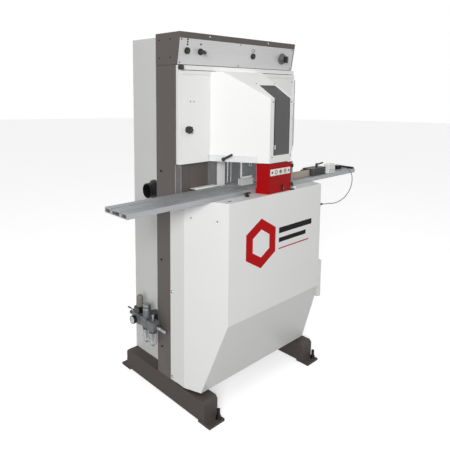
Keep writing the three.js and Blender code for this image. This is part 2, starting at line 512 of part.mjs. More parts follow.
// ---- tables, insert, fence, length stop ----
const SLOT_Y = [-184, -250];
const CHAMBER_Y = [[-290, -258], [-242, -192], [-176, -145]];
function table(x0, x1) {
  let g = box(x0, x1, TABLE_FRONT, TABLE_REAR, TABLE_Z, TABLE_TOP);
  for (const y of SLOT_Y) g = cut(g, box(x0 - 1, x1 + 1, y - 4, y + 4, TABLE_TOP - 6, TABLE_TOP + 1));
  for (const [y0, y1] of CHAMBER_Y) g = cut(g, box(x0 - 1, x1 + 1, y0, y1, TABLE_Z + 4, TABLE_TOP - 5));
  return g;
}
put('left_table', table(-TABLE_X, INSERT_X0), ALU, 0.35, 0.85);
put('right_table', table(INSERT_X1, TABLE_X), ALU, 0.35, 0.85);

const BLADE_BACK = WHEEL_X + BLADE_W / 2;
const FINGER_X = BLADE_BACK - 15;
const guide = (z0, z1) => join(
  box(BLADE_BACK + 0.6, BLADE_BACK + 31, BLADE_Y - 17, BLADE_Y + 18, z0, z1),
  box(FINGER_X, BLADE_BACK + 5, BLADE_Y - 17, BLADE_Y - BLADE_T / 2 - 0.4, z0, z1),
  box(FINGER_X, BLADE_BACK + 5, BLADE_Y + BLADE_T / 2 + 0.4, BLADE_Y + 18, z0, z1));
let insert = box(INSERT_X0 + GAP, INSERT_X1 - GAP, TABLE_FRONT, TABLE_REAR, TABLE_Z, TABLE_TOP);
insert = join(insert, guide(LG, TABLE_Z + 1));
insert = cut(insert, box(-6, INSERT_X1, BLADE_Y - 2.5, BLADE_Y + 2.5, TABLE_Z - 0.01, TABLE_TOP + 1),
  box(-6, BLADE_BACK + 0.6, BLADE_Y - 0.9, BLADE_Y + 0.9, LG - 5, TABLE_TOP + 1));
put('table_insert', insert, 0x9a9c9e, 0.4, 0.7);
put('upper_blade_guide', join(guide(...UG),
  box(BLADE_BACK + 3, BLADE_BACK + 31, BLADE_Y + 10, -80, ...UG),
  box(SPINE_X + GAP, BLADE_BACK + 31, -100, -80, ...UG)), 0x55585b, 0.5, 0.6);
put('throat_panel', box(SPINE_X + GAP, INNER_X - GAP, -75, -72, COVER_TOP + 2, UG[0] - 2), 0x4c4d4f, 0.6);
put('table_post', box(-149, -117, -118, COLUMN_FRONT - 0.5, COVER_TOP + GAP, DOOR_LOW - 1), WHITE, 0.45);

put('fence_plate', box(116, 387, FENCE_Y - 12, FENCE_Y, TABLE_TOP + GAP, TABLE_TOP + 34), 0xa59a8c, 0.6);
const STOP_TOP = TABLE_TOP + 38;
put('stop_carriage', join(box(387.5, 520, -276, -214, TABLE_TOP + GAP, STOP_TOP),
  box(387.5, 399, -214.5, -200, TABLE_TOP + GAP, TABLE_TOP + 26)), 0x47494b, 0.5, 0.5);
put('stop_lever', join(rod([476, -245, STOP_TOP + GAP], Z, 7, 0, 20, 12),
  rod([476, -245, STOP_TOP + GAP + 12], new THREE.Vector3(1, 0, 0.08), 4.5, 0, 64, 10)), BLACK, 0.5);
put('readout', box(520.5, 588, -294, -262, TABLE_TOP + GAP, TABLE_TOP + 52), 0xe8e8e6, 0.4);
put('sensor_block', box(690, 735, -245, -212, TABLE_TOP + GAP, TABLE_TOP + 22), 0x38393b, 0.5);

// ---- hold-down beside the blade ----
const PRESS_Z = TABLE_TOP + 144;   // top of the hold-down's arm
let cylinder = box(SPINE_X + GAP, HOLD_X + 27, -150, -88, CYLINDER_Z,
  CYLINDER_Z + CYLINDER_H);
for (const x of ROD_X) {
  cylinder = join(cylinder, rod([x, ROD_Y, 0], Z, 4, TABLE_TOP + 6, CYLINDER_Z + 5, 12));
}
cylinder = cut(cylinder, rod([HOLD_X, -142, CYLINDER_Z], Z, 5.5, -1, 97, 12));
put('holddown_cylinder', cylinder, 0x9b9da0, 0.35, 0.8);
let press = join(box(HOLD_X - 27, HOLD_X + 27, -236, -113, PRESS_Z - 18, PRESS_Z),
  box(HOLD_X - 37, HOLD_X + 45, -239, -231, TABLE_TOP + 42, PRESS_Z),
  rod([HOLD_X, -142, PRESS_Z], Z, 5, -4, 101, 12));
for (const x of ROD_X) press = cut(press, rod([x, ROD_Y, PRESS_Z], Z, bore(4, 12), -24, 6, 12));
put('holddown_plate', press, 0x505254, 0.5, 0.4);
const TOOTH = 5.2;             // comb tooth and gap
const TEETH = 8;
const COMB_X = HOLD_X - 35;
const COMB_Z = TABLE_TOP + 11;
const COMB_TOP = TABLE_TOP + 42 - GAP;
const comb = [[COMB_X, COMB_TOP]];
for (let i = 0; i < TEETH; i++) {
  const x = COMB_X + i * 2 * TOOTH;
  comb.push([x, COMB_Z], [x + TOOTH, COMB_Z]);
  if (i < TEETH - 1) comb.push([x + TOOTH, COMB_Z + 20], [x + 2 * TOOTH, COMB_Z + 20]);
}
comb.push([COMB_X + (2 * TEETH - 1) * TOOTH, COMB_TOP]);
put('holddown_shoe', front(comb, -250, -222), 0xc9cbca, 0.5);

// ---- red blade guard ----
const RX = HOUSE_X[2];
const RL = -91.3;
const RB = TABLE_FRONT - 1;
put('red_guard', plan([[RX, HOUSE_Y], [RX, HOUSE_Y + SHEET], [HOUSE_X[1] + 2.2, HOUSE_Y + SHEET],
  [RL + 3.3, RB], [RL, RB], [HOUSE_X[1], HOUSE_Y]], COVER_TOP + 0.6, GUARD_TOP), RED, 0.35);
const LATCH_Z = COVER_TOP + 28;
put('guard_latch', join(rod([31, HOUSE_Y - GAP, LATCH_Z], Y.clone().negate(), 6, 0, 7, 12),
  box(26, 36, HOUSE_Y - 6.5, HOUSE_Y - GAP, LATCH_Z - 25, LATCH_Z)), BLACK, 0.5);

// ---- air service unit on the left ----
const AX = -COLUMN_X - 23;
const AZ = 352;
let air = join(box(AX - 25, AX + 23, 22, 200, AZ - 25, AZ + 28),
  box(AX + 20, -REAR_X - GAP, 95, 145, AZ - 20, AZ + 24),
  rod([AX, 105, AZ + 25], Z, 20, 0, 68, 16), rod([AX, 52, AZ + 25], Z, 8, 0, 34, 10),
  rod([AX, 25, AZ], Y.clone().negate(), 9, 0, 74, 10),
  rod([AX, 195, AZ], Y, 12, 0, 52, 12),
  rod([AX - 20, 172, AZ - 4], X.clone().negate(), 21, 0, 22, 18));
put('frl_body', air, 0x55585a, 0.45, 0.5);
put('regulator_knob', turned([[0, GAP], [27, GAP], [27, 34], [17, 40], [17, 78], [10, 88], [0, 91]],
  [AX, 165, AZ + 28], Z, 16), 0x2a2a2b, 0.5);
const bowl = [[0, -GAP], [19, -GAP], [20, -66], [14, -80], [0, -84]];
put('filter_bowl', turned(bowl.slice().reverse(), [AX, 108, AZ - 25], Z, 16), 0xcfd6d8, 0.1, 0, 0.5);
put('lubricator_bowl', turned(bowl.slice().reverse(), [AX, 54, AZ - 25], Z, 16), 0xcfd6d8, 0.1, 0, 0.5);
put('valve_lever', join(rod([AX, 228, AZ + 12 + GAP], Z, 6, 0, 10, 10),
  box(AX - 5, AX + 5, 226, 272, AZ + 16, AZ + 21)), RED, 0.4);

// ---- cable duct and the read-head cable ----
const FACET = [COVER_X - COVER_FRONT_X, COVER_BEND_Y - COVER_FRONT_Y];
const fl = Math.hypot(...FACET);
const fDir = [FACET[0] / fl, FACET[1] / fl];
const fOut = [fDir[1], -fDir[0]];
const onFacet = (s, off) => [COVER_FRONT_X + fDir[0] * s + fOut[0] * off,
  COVER_FRONT_Y + fDir[1] * s + fOut[1] * off];
const DUCT = [400, 600];
const GLAND_Z = COVER_TOP - 118;
const GLAND_S = 34;
const GLAND_OUT = 38;
const DUCT_S = [12, 62];
const DUCT_OUT = 26;
put('cable_duct', plan([onFacet(DUCT_S[0], GAP), onFacet(DUCT_S[0], DUCT_OUT),
  onFacet(DUCT_S[1], DUCT_OUT), onFacet(DUCT_S[1], GAP)].reverse(), ...DUCT), 0xc4c5c6, 0.5, 0.1);
put('cable_gland', rod([...onFacet(GLAND_S, 0), GLAND_Z], new THREE.Vector3(fOut[0], fOut[1], 0), 7, GAP,
  GLAND_OUT, 12), BLACK, 0.6);

const start = [712, -245 - 0.4, 1052];
const endXY = onFacet(GLAND_S, GLAND_OUT + 0.4);
const route = [start, [712, -262, 1053], [710, -296, 1050], [708, -325, 1028], [700, -338, 985],
  [672, -342, 938], [628, -342, 905], [570, -340, 886], [510, -338, 882], [456, -336, 889],
  [...onFacet(GLAND_S, GLAND_OUT + 20), GLAND_Z - 2], [...endXY, GLAND_Z]];
const circle = new THREE.Shape();
for (let i = 0; i < 8; i++) {
  const a = i / 8 * 2 * Math.PI;
  const p = [2.25 * Math.cos(a), 2.25 * Math.sin(a)];
  if (i) circle.lineTo(...p); else circle.moveTo(...p);
}
circle.closePath();
put('cable', solid(new THREE.ExtrudeGeometry(circle, {
  steps: 52, bevelEnabled: false,
  extrudePath: new THREE.CatmullRomCurve3(route.map((p) => new THREE.Vector3(...p))),
})), 0x77797a, 0.6);

export default group;
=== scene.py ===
import bpy
import bmesh
import math
from mathutils import Matrix, Vector


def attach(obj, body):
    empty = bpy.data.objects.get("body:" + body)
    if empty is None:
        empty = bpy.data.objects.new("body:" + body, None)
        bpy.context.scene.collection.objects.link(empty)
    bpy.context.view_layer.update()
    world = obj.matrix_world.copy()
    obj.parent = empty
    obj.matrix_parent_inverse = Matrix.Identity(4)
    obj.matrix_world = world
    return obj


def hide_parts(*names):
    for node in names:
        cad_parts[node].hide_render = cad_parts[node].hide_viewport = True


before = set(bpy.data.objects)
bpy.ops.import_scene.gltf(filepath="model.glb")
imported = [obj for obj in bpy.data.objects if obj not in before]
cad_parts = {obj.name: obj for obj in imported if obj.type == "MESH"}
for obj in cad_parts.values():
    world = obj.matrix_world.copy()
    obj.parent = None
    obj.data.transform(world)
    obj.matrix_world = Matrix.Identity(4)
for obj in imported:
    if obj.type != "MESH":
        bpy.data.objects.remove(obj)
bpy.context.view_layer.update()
MM = 0.001
X = Vector((1, 0, 0))
Y = Vector((0, 1, 0))
Z = Vector((0, 0, 1))

# sizes of the machine that several pieces share, in millimetres
COVER_TOP = 1018        # top of the lower cover
ON_TABLE = 1040.3       # just above the tables
COVER_X = 415           # half width of the lower cover
FACET_X = 340           # half width of the cover's front face
COVER_FRONT = -370.5    # the cover's front face
FACET_BACK = -163.5     # where the cover's side facets end
FACET_WIDE = COVER_X - FACET_X
FACET_DEEP = FACET_BACK - COVER_FRONT
SIDE_X = 409            # half width over the columns
DOOR_FACE = -120.5      # front of the door sheet
DOOR_TOP = 1583
ROOF_LOW = 1462         # where the housing's roof meets its front
ROOF_BACK = -169        # where the roof starts to fall
HOUSE_FRONT = -360.5    # front of the wheel housing and of the red guard
PANEL_LOW = 1608        # lower edge of the control panel
WHEEL_Y = -55
WHEEL_R = 177
LOWER_Z = 770
UPPER_Z = 1391
SHAFT_PULLEY_R = 75
MOTOR_AT = (185, 330)   # motor shaft: y, z
MOTOR_PULLEY_R = 50
HOLD_X = -97            # hold-down: cylinder axis
HOLD_RODS = (-108, -86)
ROD_Y = -129
POST_X = 102            # the red guard's hinge post
POST_Y = -356.5
REAR_FACE = 321.3
READ_X = 712            # cable outlet of the read head
READ_Z = 1052


# ---------------------------------------------------------------- camera, light, floor
def make_camera():
    data = bpy.data.cameras.new("camera")
    cam = bpy.data.objects.new("camera", data)
    bpy.context.scene.collection.objects.link(cam)
    bpy.context.scene.camera = cam
    yaw, pitch, roll = math.radians(43.27), math.radians(6.87), math.radians(0.387)
    look = Vector((math.sin(yaw) * math.cos(pitch), math.cos(yaw) * math.cos(pitch), -math.sin(pitch)))
    cam.rotation_mode = "QUATERNION"
    cam.location = Vector((-1738.6, -1752.8, 1491.9)) * MM
    cam.rotation_quaternion = look.to_track_quat("-Z", "Y") @ Matrix.Rotation(roll, 3, "Z").to_quaternion()
    data.sensor_width = 36
    data.lens = 38.0
    data.shift_x = 0.0273
    data.shift_y = -0.170
    data.clip_start, data.clip_end = 0.05, 60


def area_light(name, at, aim, size, power, color=(1, 1, 1)):
    data = bpy.data.lights.new(name, "AREA")
    data.shape, data.size, data.energy, data.color = "DISK", size, power, color
    o = bpy.data.objects.new(name, data)
    bpy.context.scene.collection.objects.link(o)
    o.location = at
    o.rotation_euler = (Vector(aim) - Vector(at)).to_track_quat("-Z", "Y").to_euler()


make_camera()


# ---------------------------------------------------------------- materials
def shader(name):
    m = bpy.data.materials.new(name)
    m.use_nodes = True
    tree = m.node_tree
    return m, tree, tree.nodes["Principled BSDF"]


def linear(c):
    return tuple(((v / 12.92) if v <= 0.04045 else ((v + 0.055) / 1.055) ** 2.4) for v in c)


def grey(v):
    return (v, v, v)


def noise(tree, scale, detail=3.0, stretch=None):
    coord = tree.nodes.new("ShaderNodeTexCoord")
    node = tree.nodes.new("ShaderNodeTexNoise")
    node.inputs["Scale"].default_value = scale
    node.inputs["Detail"].default_value = detail
    link = coord.outputs["Object"]
    if stretch:
        m = tree.nodes.new("ShaderNodeMapping")
        m.inputs["Scale"].default_value = stretch
        tree.links.new(link, m.inputs["Vector"])
        link = m.outputs["Vector"]
    tree.links.new(link, node.inputs["Vector"])
    return node


def ramp(tree, source, a, b, lo=0.35, hi=0.65):
    r = tree.nodes.new("ShaderNodeValToRGB")
    r.color_ramp.elements[0].position = lo
    r.color_ramp.elements[1].position = hi
    r.color_ramp.elements[0].color = (*a, 1)
    r.color_ramp.elements[1].color = (*b, 1)
    tree.links.new(source, r.inputs["Fac"])
    return r


def surface(name, color, rough=0.45, metal=0.0, vary=0.03, patch=6.0, grain=700.0, bump=0.05,
            rough_vary=0.06, stretch=None, spec=None):
    """Painted, moulded or metal surface: cloudy tone, fine grain bump, uneven roughness. sRGB colour in."""
    m, t, p = shader(name)
    base = linear(color)
    dark = tuple(max(0, v * (1 - vary)) for v in base)
    lite = tuple(min(1, v * (1 + vary)) for v in base)
    clouds = noise(t, patch, 4.0, stretch)
    tone = ramp(t, clouds.outputs[0], dark, lite)
    t.links.new(tone.outputs["Color"], p.inputs["Base Color"])
    p.inputs["Metallic"].default_value = metal
    rr = ramp(t, clouds.outputs[0], grey(max(0.02, rough - rough_vary)), grey(min(1, rough + rough_vary)))
    t.links.new(rr.outputs["Color"], p.inputs["Roughness"])
    if bump:
        g = noise(t, grain, 2.0, stretch)
        b = t.nodes.new("ShaderNodeBump")
        b.inputs["Strength"].default_value = bump
        b.inputs["Distance"].default_value = 0.0006
        t.links.new(g.outputs[0], b.inputs["Height"])
        t.links.new(b.outputs["Normal"], p.inputs["Normal"])
    if spec is not None:
        p.inputs["Specular IOR Level"].default_value = spec
    return m


def clear(name, color, alpha, rough=0.06, spec=0.5):
    m, t, p = shader(name)
    base = linear(color)
    n = noise(t, 14.0, 3.0)
    tone = ramp(t, n.outputs[0], tuple(v * 0.97 for v in base), tuple(min(1, v * 1.03) for v in base))
    t.links.new(tone.outputs["Color"], p.inputs["Base Color"])
    p.inputs["Roughness"].default_value = rough
    p.inputs["Alpha"].default_value = alpha
    p.inputs["IOR"].default_value = 1.49
    p.inputs["Specular IOR Level"].default_value = spec
    m.surface_render_method = "BLENDED"
    return m


M = {
    "taupe": surface("taupe_powder", (0.345, 0.318, 0.303), 0.5, 0.0, 0.05, 5.0, 1400.0, 0.35, 0.05),
    "white": surface("white_powder", (0.965, 0.965, 0.96), 0.38, 0.0, 0.01, 3.0, 1200.0, 0.12, 0.05,
        spec=0.45),
    # the white powder darkened: painted shade for the rear cabinet's left side
    "cabinet": surface("cabinet_white_painted_shade", (0.875, 0.875, 0.87), 0.4, 0.0, 0.012, 3.0, 1200.0, 0.12,
        0.05, spec=0.4),
    # the feet: taupe paint like the columns, darkened as painted shade of the machine above them
    "foot": surface("foot_powder_painted_shade", (0.325, 0.30, 0.288), 0.6, 0.0, 0.06, 5.0, 1400.0, 0.4, 0.05, spec=0.2),
    "top": surface("light_grey_sheet", (0.86, 0.86, 0.86), 0.4, 0.1, 0.02, 4.0, 1200.0, 0.1),
    "panel": surface("satin_panel", (0.83, 0.83, 0.83), 0.34, 0.25, 0.02, 8.0, 900.0, 0.06, 0.04,
        (1, 12, 12)),
    "alu": surface("brushed_aluminium", (0.66, 0.67, 0.68), 0.48, 0.6, 0.05, 16.0, 260.0, 0.25, 0.08,
        (0.6, 26, 26)),
    "alu_cross": surface("milled_aluminium", (0.72, 0.73, 0.74), 0.32, 0.9, 0.04, 30.0, 400.0, 0.1, 0.06),
    "steel": surface("machined_steel", (0.62, 0.63, 0.64), 0.3, 1.0, 0.05, 20.0, 300.0, 0.12, 0.08),
    "chrome": surface("polished_rod", (0.82, 0.83, 0.84), 0.12, 1.0, 0.02, 12.0, 300.0, 0.03, 0.04),
    "blade": surface("saw_band", (0.60, 0.61, 0.63), 0.28, 1.0, 0.06, 30.0, 300.0, 0.15, 0.1, (1, 1, 0.1)),
    "dark": surface("dark_grey_paint", (0.24, 0.245, 0.25), 0.45, 0.2, 0.06, 9.0, 900.0, 0.2),
    "throat": surface("throat_grey", (0.34, 0.345, 0.35), 0.5, 0.1, 0.08, 7.0, 700.0, 0.2),
    "motor": surface("motor_enamel", (0.25, 0.36, 0.46), 0.4, 0.0, 0.06, 12.0, 600.0, 0.25),
    "black": surface("black_moulding", (0.075, 0.075, 0.078), 0.42, 0.0, 0.1, 14.0, 1300.0, 0.25, 0.08),
    "black_steel": surface("black_oxide_steel", (0.13, 0.128, 0.125), 0.38, 0.7, 0.1, 24.0, 500.0, 0.2),
    "rubber": surface("rubber", (0.09, 0.09, 0.09), 0.7, 0.0, 0.1, 18.0, 800.0, 0.35),
    "tyre": surface("wheel_tyre", (0.16, 0.155, 0.15), 0.65, 0.0, 0.1, 18.0, 700.0, 0.3),
    "red": surface("red_sheet", (0.66, 0.0, 0.015), 0.4, 0.0, 0.04, 5.0, 900.0, 0.06, 0.05, spec=0.12),
    "red_grip": surface("red_grip", (0.72, 0.02, 0.04), 0.35, 0.0, 0.05, 9.0, 900.0, 0.1),
    "beige": surface("beige_facing", (0.66, 0.61, 0.55), 0.55, 0.0, 0.1, 16.0, 220.0, 0.35, 0.06,
        (0.25, 5, 5)),
    "comb": surface("grey_comb", (0.80, 0.81, 0.80), 0.4, 0.0, 0.05, 30.0, 700.0, 0.1),
    "light": surface("light_moulding", (0.95, 0.95, 0.94), 0.35, 0.0, 0.01, 10.0, 1300.0, 0.08),
    "mark": surface("printed_black", (0.05, 0.05, 0.05), 0.5, 0.0, 0.06, 30.0, 900.0, 0.0, spec=0.1),
    "mark_grey": surface("printed_grey", (0.45, 0.46, 0.48), 0.5, 0.0, 0.06, 30.0, 900.0, 0.0),
    "mark_red": surface("printed_red", (0.76, 0.0, 0.02), 0.5, 0.0, 0.03, 20.0, 900.0, 0.0, spec=0.1),
    "mark_green": surface("printed_green", (0.35, 0.55, 0.20), 0.42, 0.0, 0.03, 20.0, 900.0, 0.0),
    "knob_grey": surface("warm_grey_moulding", (0.50, 0.48, 0.45), 0.45, 0.0, 0.05, 20.0, 1100.0, 0.2),
    "brass": surface("plated_brass", (0.72, 0.66, 0.52), 0.25, 1.0, 0.05, 20.0, 300.0, 0.05),
    "grey_cast": surface("grey_casting", (0.42, 0.43, 0.44), 0.5, 0.35, 0.08, 22.0, 480.0, 0.4),
    "cable": surface("cable_sheath", (0.40, 0.41, 0.42), 0.45, 0.0, 0.05, 60.0, 900.0, 0.1),
    "guard": clear("clear_sheet", (0.80, 0.83, 0.85), 0.07),
    "guard_edge": clear("clear_sheet_edge", (0.96, 0.97, 0.98), 0.7, 0.2),
    "smoked": clear("smoked_sheet", (0.44, 0.44, 0.44), 0.86, 0.16, 0.15),
    "smoked_roof": clear("smoked_roof", (0.33, 0.33, 0.33), 0.93, 0.2, 0.06),
    "bowl": clear("clear_bowl", (0.80, 0.83, 0.84), 0.38, 0.08),
    "dial": surface("dial_face", (0.9, 0.9, 0.88), 0.3, 0.0, 0.02, 30.0, 900.0, 0.0),
}


# ---------------------------------------------------------------- mesh building, in millimetres
def turn_to(direction):
    return Vector(direction).normalized().to_track_quat("Z", "Y").to_matrix().to_4x4()


class Part:
    """Collects bevelled solids into one mesh with several materials."""

    def __init__(self):
        self.bm = bmesh.new()

    def _take(self, tmp, m, matrix=None, bevel=0.0, seg=2):
        bmesh.ops.recalc_face_normals(tmp, faces=tmp.faces)
        if bevel:
            edges = [e for e in tmp.edges if len(e.link_faces) == 2 and e.calc_face_angle(0) > 0.5]
            bmesh.ops.bevel(tmp, geom=edges, offset=bevel, segments=seg, profile=0.5,
                            affect="EDGES", clamp_overlap=True)
        for f in tmp.faces:
            f.material_index = m
        if matrix is not None:
            bmesh.ops.transform(tmp, matrix=matrix, verts=tmp.verts)
        me = bpy.data.meshes.new("tmp")
        tmp.to_mesh(me)
        tmp.free()
        self.bm.from_mesh(me)
        bpy.data.meshes.remove(me)
        return self

    def box(self, x0, x1, y0, y1, z0, z1, r=0.8, m=0, seg=2, matrix=None):
        tmp = bmesh.new()
        bmesh.ops.create_cube(tmp, size=1)
        s = Matrix.Diagonal((x1 - x0, y1 - y0, z1 - z0, 1))
        t = Matrix.Translation(((x0 + x1) / 2, (y0 + y1) / 2, (z0 + z1) / 2))
        bmesh.ops.transform(tmp, matrix=t @ s, verts=tmp.verts)
        return self._take(tmp, m, matrix, r, seg)

    def lathe(self, profile, at=(0, 0, 0), direction=Z, m=0, steps=28, bevel=0.0):
        """profile is [radius, height] from the axis back to the axis, or a closed ring."""
        tmp = bmesh.new()
        rings = []
        closed = profile[0][0] > 0 and profile[-1][0] > 0
        for r, h in profile:
            if r <= 1e-6:
                rings.append([tmp.verts.new((0, 0, h))])
            else:
                rings.append([tmp.verts.new((r * math.cos(2 * math.pi * i / steps),
                                             r * math.sin(2 * math.pi * i / steps), h))
                              for i in range(steps)])
        pairs = list(zip(rings, rings[1:])) + ([(rings[-1], rings[0])] if closed else [])
        for a, b in pairs:
            for i in range(steps):
                j = (i + 1) % steps
                if len(a) == 1 and len(b) == 1:
                    continue
                if len(a) == 1:
                    tmp.faces.new((a[0], b[j], b[i]))
                elif len(b) == 1:
                    tmp.faces.new((a[i], a[j], b[0]))
                else:
                    tmp.faces.new((a[i], a[j], b[j], b[i]))
        return self._take(tmp, m, Matrix.Translation(at) @ turn_to(direction), bevel)

    def rod(self, a, b, r, m=0, steps=20, chamfer=0.4):
        a, b = Vector(a), Vector(b)
        n = (b - a).length
        c = min(chamfer, r * 0.4, n * 0.4)
        return self.lathe([(0, 0), (r - c, 0), (r, c), (r, n - c), (r - c, n), (0, n)], a, b - a, m, steps)

    def prism(self, points, t0, t1, plane="XY", r=0.6, m=0, seg=2, matrix=None):
        """Outline in a plane, raised along the third axis from t0 to t1."""
        tmp = bmesh.new()

        def place(a, b, t):
            return {"XY": (a, b, t), "YZ": (t, a, b), "XZ": (a, t, b)}[plane]
        low = [tmp.verts.new(place(a, b, t0)) for a, b in points]
        high = [tmp.verts.new(place(a, b, t1)) for a, b in points]
        n = len(points)
        tmp.faces.new(low)
        tmp.faces.new(high[::-1])
        for i in range(n):
            tmp.faces.new((low[i], high[i], high[(i + 1) % n], low[(i + 1) % n]))
        return self._take(tmp, m, matrix, r, seg)

    def hexa(self, at, direction, across, height, m=0):
        """Hexagon nut or bolt head with chamfered corners."""
        r = across / math.sqrt(3)
        pts = [(r * math.cos(math.pi / 3 * i), r * math.sin(math.pi / 3 * i)) for i in range(6)]
        return self.prism(pts, 0, height, "XY", across * 0.045, m, 2,
                          Matrix.Translation(at) @ turn_to(direction))

    def screw(self, at, direction, r=4.0, m=0, kind="pan", h=None):
        """A screw head standing on a surface, with its drive recess."""
        h = h or r * 0.55
        at = Vector(at)
        if kind == "socket":
            prof = [(0, h * 0.45), (r * 0.5, h * 0.45), (r * 0.5, h), (r * 0.88, h), (r, h * 0.86),
                    (r, -0.2), (0, -0.2)]
            return self.lathe(prof, at, direction, m, 18)
        prof = [(0, h * 0.5), (r * 0.3, h * 0.62), (r * 0.34, h), (r * 0.62, h * 0.9), (r * 0.92, h * 0.45),
                (r, 0), (r, -0.2), (0, -0.2)]
        return self.lathe(prof, at, direction, m, 16)

    def done(self, name, body, mats, replaces=(), sharp=40):
        bmesh.ops.remove_doubles(self.bm, verts=self.bm.verts, dist=1e-5)
        me = bpy.data.meshes.new(name)
        bmesh.ops.transform(self.bm, matrix=Matrix.Diagonal((MM, MM, MM, 1)), verts=self.bm.verts)
        self.bm.to_mesh(me)
        self.bm.free()
        o = bpy.data.objects.new(name, me)
        bpy.context.scene.collection.objects.link(o)
        for k in ([mats] if isinstance(mats, str) else mats):
            me.materials.append(M[k])
        me.shade_smooth()
        me.set_sharp_from_angle(angle=math.radians(sharp))
        wn = o.modifiers.new("weighted", "WEIGHTED_NORMAL")
        wn.keep_sharp = True
        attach(o, body)
        if replaces:
            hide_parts(*replaces)
        return o


FOLD = 12  # degrees: folded sheet keeps even its shallow bends crisp


def finish_node(name, mat, bevel=1.0, angle=30, crease=40):
    """Gives a CAD node its finish: welded, softly broken edges, procedural material."""
    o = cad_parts[name]
    o.data.materials.clear()
    o.data.materials.append(M[mat])
    for p in o.data.polygons:
        p.material_index = 0
    w = o.modifiers.new("weld", "WELD")
    w.merge_threshold = 1e-5
    if bevel:
        b = o.modifiers.new("edge", "BEVEL")
        b.width, b.segments, b.limit_method = bevel * MM, 2, "ANGLE"
        b.angle_limit = math.radians(angle)
        b.harden_normals = False
        b.use_clamp_overlap = True
    o.data.shade_smooth()
    o.data.set_sharp_from_angle(angle=math.radians(crease))
    n = o.modifiers.new("weighted", "WEIGHTED_NORMAL")
    n.keep_sharp = True
    return o


# ---------------------------------------------------------------- the free cable
GLAND_Z = 900  # height of the gland on the cover, GLAND_S along its facet
GLAND_S = 34


def facet_point(s, off):
    """A point on the lower cover's right facet: s along it from the front corner, off out of it."""
    n = math.hypot(FACET_WIDE, FACET_DEEP)
    dx = FACET_WIDE / n
    dy = FACET_DEEP / n
    return (FACET_X + dx * s + dy * off, COVER_FRONT + dy * s - dx * off)


CABLE = [(READ_X, -245.4, READ_Z), (READ_X, -262, 1053), (710, -296, 1050), (708, -325, 1028),
        (700, -338, 985),
         (672, -342, 938), (628, -342, 905), (570, -340, 886), (510, -338, 882), (456, -336, 889),
         (*facet_point(GLAND_S, 58), GLAND_Z - 2), (*facet_point(GLAND_S, 38.4), GLAND_Z)]


def catmull(points, per):
    """Centripetal Catmull-Rom through the points."""
    pts = [Vector(p) for p in points]
    pts = [pts[0] * 2 - pts[1]] + pts + [pts[-1] * 2 - pts[-2]]
    out = []
    for i in range(1, len(pts) - 2):
        p0, p1, p2, p3 = pts[i - 1:i + 3]
        t0 = 0.0
        t1 = t0 + (p1 - p0).length ** 0.5
        t2 = t1 + (p2 - p1).length ** 0.5
        t3 = t2 + (p3 - p2).length ** 0.5
        for k in range(per):
            t = t1 + (t2 - t1) * k / per
            a1 = p0 * ((t1 - t) / (t1 - t0)) + p1 * ((t - t0) / (t1 - t0))
            a2 = p1 * ((t2 - t) / (t2 - t1)) + p2 * ((t - t1) / (t2 - t1))
            a3 = p2 * ((t3 - t) / (t3 - t2)) + p3 * ((t - t2) / (t3 - t2))
            b1 = a1 * ((t2 - t) / (t2 - t0)) + a2 * ((t - t0) / (t2 - t0))
            b2 = a2 * ((t3 - t) / (t3 - t1)) + a3 * ((t - t1) / (t3 - t1))
            out.append(b1 * ((t2 - t) / (t2 - t1)) + b2 * ((t - t1) / (t2 - t1)))
    out.append(pts[-2])
    return out


def spline_object(name, points, radius, mat):
    data = bpy.data.curves.new(name, "CURVE")
    data.dimensions = "3D"
    s = data.splines.new("POLY")
    s.points.add(len(points) - 1)
    for q, p in zip(s.points, points):
        q.co = (*(Vector(p) * MM), 1)
    data.bevel_depth, data.bevel_resolution, data.use_fill_caps = radius * MM, 4, True
    s.use_smooth = True
    o = bpy.data.objects.new(name, data)
    bpy.context.scene.collection.objects.link(o)
    data.materials.append(M[mat])
    return o


cable_line = catmull(CABLE, 6)
cable = spline_object("read_head_cable", cable_line, 2.25, "cable")
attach(cable, "frame")
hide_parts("cable")

# ---------------------------------------------------------------- CAD nodes that keep their shape
# the feet take the darker taupe, painted shade under the machine
for n in ("left_foot", "right_foot"):
    finish_node(n, "foot", 2.5)
for n in ("left_column", "right_column", "spine_column", "cross_beam"):
    finish_node(n, "taupe", 2.2)
finish_node("control_hood", "taupe", 1.2)
finish_node("control_panel", "panel", 0.5)
# the rear cabinet and panel take the darkened white, painted shade on their left side
for n in ("rear_cabinet", "rear_panel"):
    finish_node(n, "cabinet", 0.9)
for n in ("door_frame", "table_post"):
    finish_node(n, "white", 0.9)
finish_node("head_door", "white", 1.0, FOLD, FOLD)
finish_node("lower_cover", "white", 1.2, FOLD, FOLD)
finish_node("cabinet_top", "top", 0.8)
finish_node("window", "smoked", 0.6)
finish_node("door_hinge", "steel", 0.4)
finish_node("left_table", "alu", 0.5)
finish_node("right_table", "alu", 0.5)
finish_node("table_insert", "steel", 0.5)
finish_node("throat_panel", "taupe", 0.5)
finish_node("upper_blade_guide", "dark", 0.8)
finish_node("red_guard", "red", 0.6)
finish_node("cable_duct", "top", 1.0)
finish_node("tension_slide", "dark", 0.8)
finish_node("dust_port", "black", 0.8)


def repaint(name, mat, test):
    """Gives the faces of a CAD node whose middle passes the test a second material."""
    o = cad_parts[name]
    o.data.materials.append(M[mat])
    k = len(o.data.materials) - 1
    for p in o.data.polygons:
        c = p.center / MM
        if test(c, p.normal):
            p.material_index = k


PANEL_LEAN = (-127 + 103.5) / 142
PANEL_OUT = Vector((0, -1, PANEL_LEAN)).normalized()


def on_panel(x, z, off=0.0):
    """A point on the control panel's leaning face."""
    return Vector((x, -102.5 + (z - PANEL_LOW) * PANEL_LEAN, z)) + PANEL_OUT * off


repaint("window", "smoked_roof", lambda c, n: n.z > 0.3)

START, SELECT, STOP, MAIN = (-356, 1670), (-277, 1670), (79, 1668), (312, 1667)

